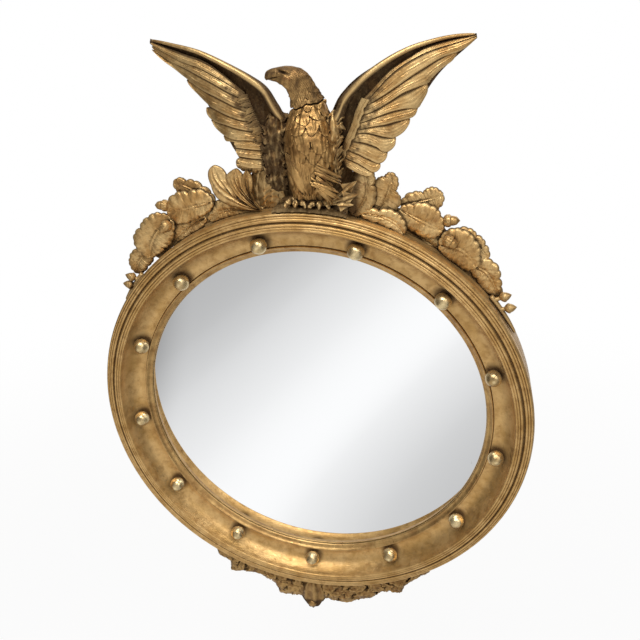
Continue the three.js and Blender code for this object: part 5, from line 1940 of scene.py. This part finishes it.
@dataclass
class LeafyApron:
    """Two leafy swags and a husk boss that hang under the ring."""

    dresser: Dresser
    left: Line = ((2.8, 49), (8.7, 53), (11.2, 36), (15.9, 28.5), (21, 36), (23.6, 43),
                  (25.2, 29), (28.8, 27), (32, 12), (35, 2))
    right: Line = ((2.8, 47), (8.2, 50), (12.4, 45), (16, 42), (19.3, 31), (24, 38),
                   (26, 30), (29, 22.5), (34.8, 17), (38.5, 2))
    back: float = 25.0
    thickness: float = 20.0

    def swag(self, side: Side) -> Piece:
        """One swag of small overlapping leaves.

        Args:
            side: Which side it hangs on.

        Returns:
            The swag in place.
        """
        outline = smooth_line(self.left if side is Side.LEFT else self.right, 120)
        piece = Bench.sheet(190, 44)
        t, v, h = Bench.places(piece, 1).T
        degrees, drop = along(outline, t).T
        share, drop = (v + 1) / 2, np.maximum(drop - 1.0, 1.2)
        radius = FRAME_R + 0.4 + (drop - 0.4) * share
        turn = np.radians(180 - side.value * degrees)
        x, z = radius * np.sin(turn), radius * np.cos(turn)
        flat = stack(x, z, 0.0)
        down = share * drop / 15 + 5 + 0.35 * ripple(flat, 22, 78)
        around = degrees / 4.4 + 20 + 0.4 * ripple(flat, 26, 79)
        relief = scallops(around, down, 14 + side.value) * 5.0 - 2.0 + ripple(flat, 9, 77)
        thick = self.thickness * np.minimum(1, 0.45 + drop / 57) - 3
        front = thick * (1 - 0.55 * np.clip((share - 0.45) / 0.55, 0, 1) ** 2) + relief
        Bench.move(piece, stack(x, -self.back - np.where(h < BEHIND, 0, front), z))
        Bench.outward(piece)
        Bench.paint(piece, 0.1)
        return piece

    def boss(self) -> Piece:
        """Husk with a ribbed swell and a bead at its tip."""

        def shape(u: np.ndarray, turn: np.ndarray) -> np.ndarray:
            """Places on the husk."""
            swell = 17 * (0.78 + 0.5 * np.sin(math.pi * u**1.2)) * (1 - 0.45 * u**4)
            closing = np.sqrt(np.clip(1 - (2 * u - 1) ** 14, 0, 1))
            ribs = 1 + 0.07 * np.cos(turn * 9)
            leafy = scallops(turn * 6 / (2 * math.pi) + 20, u * 4.5 + 5, 19)
            half = (swell * ribs + 2.6 * leafy - 2.2) * closing
            y = -37 + 12 * closing * ribs * np.sin(turn)
            return stack(half * np.cos(turn), y, -FRAME_R - 0.6 - 56 * u)

        husk = Bench.round_form(72, 70, shape)
        # Painted shade: the husk's lower end is painted dark round the bead.
        Bench.paint(husk, np.clip((-313 - Bench.places(husk)[:, 2]) / 6, 0.2, 0.85))
        bead = Bench.egg(32, 24, [0, -46, -324], np.diag([6.5, 6.0, 6.5]))
        Bench.paint(bead, 0.0)
        return Bench.assemble([husk, bead])

    def build(self) -> None:
        """Makes the apron."""
        settle = self.dresser.settle
        for side in Side:
            name = f"swag_{side.word}"
            settle(self.swag(side), f"carved_{name}", Look.APRON, f"apron_{name}", 60)
        settle(self.boss(), "carved_boss", Look.APRON, "apron_boss", 60)


# ---------- Studio ----------


@dataclass
class Studio:
    """White room, soft lamps and the camera at the photograph's place."""

    camera_place: tuple[float, float, float] = (0.16704, -0.75504, 0.48672)
    azimuth: float = 12.02
    elevation: float = 25.20
    roll: float = -0.65
    focal_px: float = 669.0
    image_px: float = 640.0
    sensor: float = 36.0
    floor_z: float = -1.2

    def stand(
        self, name: str, data: bpy.types.ID, place: Sequence[float], turn: Sequence[np.ndarray]
    ) -> Piece:
        """Adds a camera or lamp to the scene.

        Args:
            name: Its name.
            data: Its camera or light.
            place: Where it stands, in metres.
            turn: Its own right, up and backward directions.

        Returns:
            The new object.
        """
        thing = bpy.data.objects.new(name, data)
        bpy.context.scene.collection.objects.link(thing)
        matrix = np.eye(4)
        matrix[:3] = np.column_stack([*turn, place])
        thing.matrix_world = Matrix(matrix.tolist())
        return thing

    def camera(self) -> None:
        """Sets the camera."""
        data = bpy.data.cameras.new("photo_camera")
        data.sensor_width = self.sensor
        data.lens = self.sensor * self.focal_px / self.image_px
        data.clip_start, data.clip_end = 0.02, 60
        az, el, roll = np.radians([self.azimuth, self.elevation, self.roll])
        level_x, level_y, down = -math.sin(az), math.cos(az), -math.sin(el)
        forward = np.array([level_x * math.cos(el), level_y * math.cos(el), down])
        level = np.cross(forward, [0, 0, 1])
        level /= np.linalg.norm(level)
        right = level * math.cos(roll) + np.cross(level, forward) * math.sin(roll)
        turn = (right, np.cross(right, forward), -forward)
        camera = self.stand("photo_camera", data, self.camera_place, turn)
        bpy.context.scene.camera = camera

    def floor(self) -> None:
        """Pale floor far below, that fades into the white background."""
        floor = Bench.add(
            bpy.ops.mesh.primitive_circle_add, vertices=128, radius=7, fill_type="NGON",
            location=(0, 0, self.floor_z),
        )
        floor.name = "studio_floor"
        board = NodeBoard(bpy.data.materials.new("floor_white"))
        matt = board.add("BsdfPrincipled", {"Base Color": (0.92, 0.92, 0.92, 1), "Roughness": 0.9})
        glow = board.add("Emission", {"Color": (1, 1, 1, 1)})
        own = board.add("TexCoord").outputs["Object"]
        away = board.add("VectorMath", {0: own}, operation="LENGTH").outputs["Value"]
        fade = board.span(away, 1.0, 3.2, 0.88, 1)
        seen = board.math("MULTIPLY", board.add("LightPath").outputs["Is Camera Ray"], fade)
        mix = board.add("MixShader", {0: seen, 1: matt.outputs[0], 2: glow.outputs[0]})
        board.add("OutputMaterial", {0: mix.outputs[0]})
        floor.data.materials.append(board.owner)
        floor.visible_glossy = False

    def lamp(
        self, name: str, place: Sequence[float], aim: Sequence[float], size: float, watts: float
    ) -> None:
        """Adds one soft square lamp.

        Args:
            name: Its name.
            place: Where it stands, in metres.
            aim: What it points at, in metres.
            size: Length of its sides, in metres.
            watts: Its strength.
        """
        data = bpy.data.lights.new(name, "AREA")
        data.shape, data.size, data.energy = "SQUARE", size, watts
        away = unit(np.subtract(place, aim))
        side = unit(np.cross([0.0, 0.0, 1.0], away))
        self.stand(name, data, place, (side, np.cross(away, side), away))

    def world(self) -> None:
        """White background, a dimmer soft light, and reflections with the photo's bright band."""
        bpy.context.scene.world = bpy.data.worlds.new("studio_world")
        board = NodeBoard(bpy.context.scene.world)
        rays = board.add("LightPath").outputs
        seen = board.math("MAXIMUM", rays["Is Camera Ray"], rays["Is Transmission Ray"])
        sky = board.add("TexCoord").outputs["Generated"]
        band = board.add("VectorMath", {0: sky, 1: (0.70, -0.10, -0.70)}, operation="DOT_PRODUCT")
        shift = board.add("MapRange", {"Value": band.outputs["Value"], "From Min": -1.0})
        ramp = board.add("ValToRGB", {0: shift.outputs[0]})
        ramp.color_ramp.interpolation = "CARDINAL"
        stops = [(0.0, 0.3), (0.3, 0.45), (0.415, 0.56), (0.485, 0.72), (0.59, 0.9), (0.69, 1.0),
                 (0.75, 0.9), (0.85, 0.67), (1.0, 0.5)]
        elements = ramp.color_ramp.elements
        while len(elements) < len(stops):
            elements.new(0.5)
        for element, (spot, grey) in zip(elements, stops):
            element.position = spot
            element.color = (grey, grey, grey, 1)
        soft = board.add("Background", {"Color": (1, 0.985, 0.96, 1), "Strength": 0.5})
        aside = board.add("SeparateXYZ", {0: sky}).outputs[0]
        falloff = board.span(board.math("ABSOLUTE", aside), 0.62, 0.9, 1, 0.15)
        mirrored = board.add("Background", {"Color": ramp.outputs[0], "Strength": falloff})
        white = board.add("Background", {"Color": (1, 1, 1, 1)})
        lit = {0: rays["Is Glossy Ray"], 1: soft.outputs[0], 2: mirrored.outputs[0]}
        first = board.add("MixShader", lit)
        last = board.add("MixShader", {0: seen, 1: first.outputs[0], 2: white.outputs[0]})
        board.add("OutputWorld", {0: last.outputs[0]})

    def build(self) -> None:
        """Sets up the studio."""
        self.camera()
        self.floor()
        self.world()
        self.lamp("key_lamp", (-0.15, -1.05, 2.05), (0, 0, 0.05), 1.1, 30)
        self.lamp("fill_lamp", (1.3, -1.4, 1.5), (0, 0, 0.1), 0.8, 8)
        self.lamp("back_lamp", (0.3, 1.9, 1.3), (0, 0, 0), 1.6, 12)
        bpy.context.scene.view_settings.view_transform = "Standard"


def main() -> None:
    """Builds every sub-assembly in order."""
    logging.basicConfig(level=logging.INFO, format="%(message)s")
    dresser = Dresser()
    Studio().build()
    TurnedFrame(dresser).build()
    CoveBalls(dresser).build()
    BackFittings(dresser).build()
    long_feather, shaggy_feather = feather_pattern(64, 16), feather_pattern(26, 8)
    Wing(dresser, LEFT_WING).build(long_feather)
    Wing(dresser, RIGHT_WING).build(long_feather)
    eagle = Eagle(dresser, shaggy_feather)
    eagle.body()
    eagle.head()
    eagle.perch()
    eagle.arrows()
    OakSpray(dresser).build()
    LeafyApron(dresser).build()
    Bench.remove(long_feather, shaggy_feather)


if __name__ == "__main__":
    main()
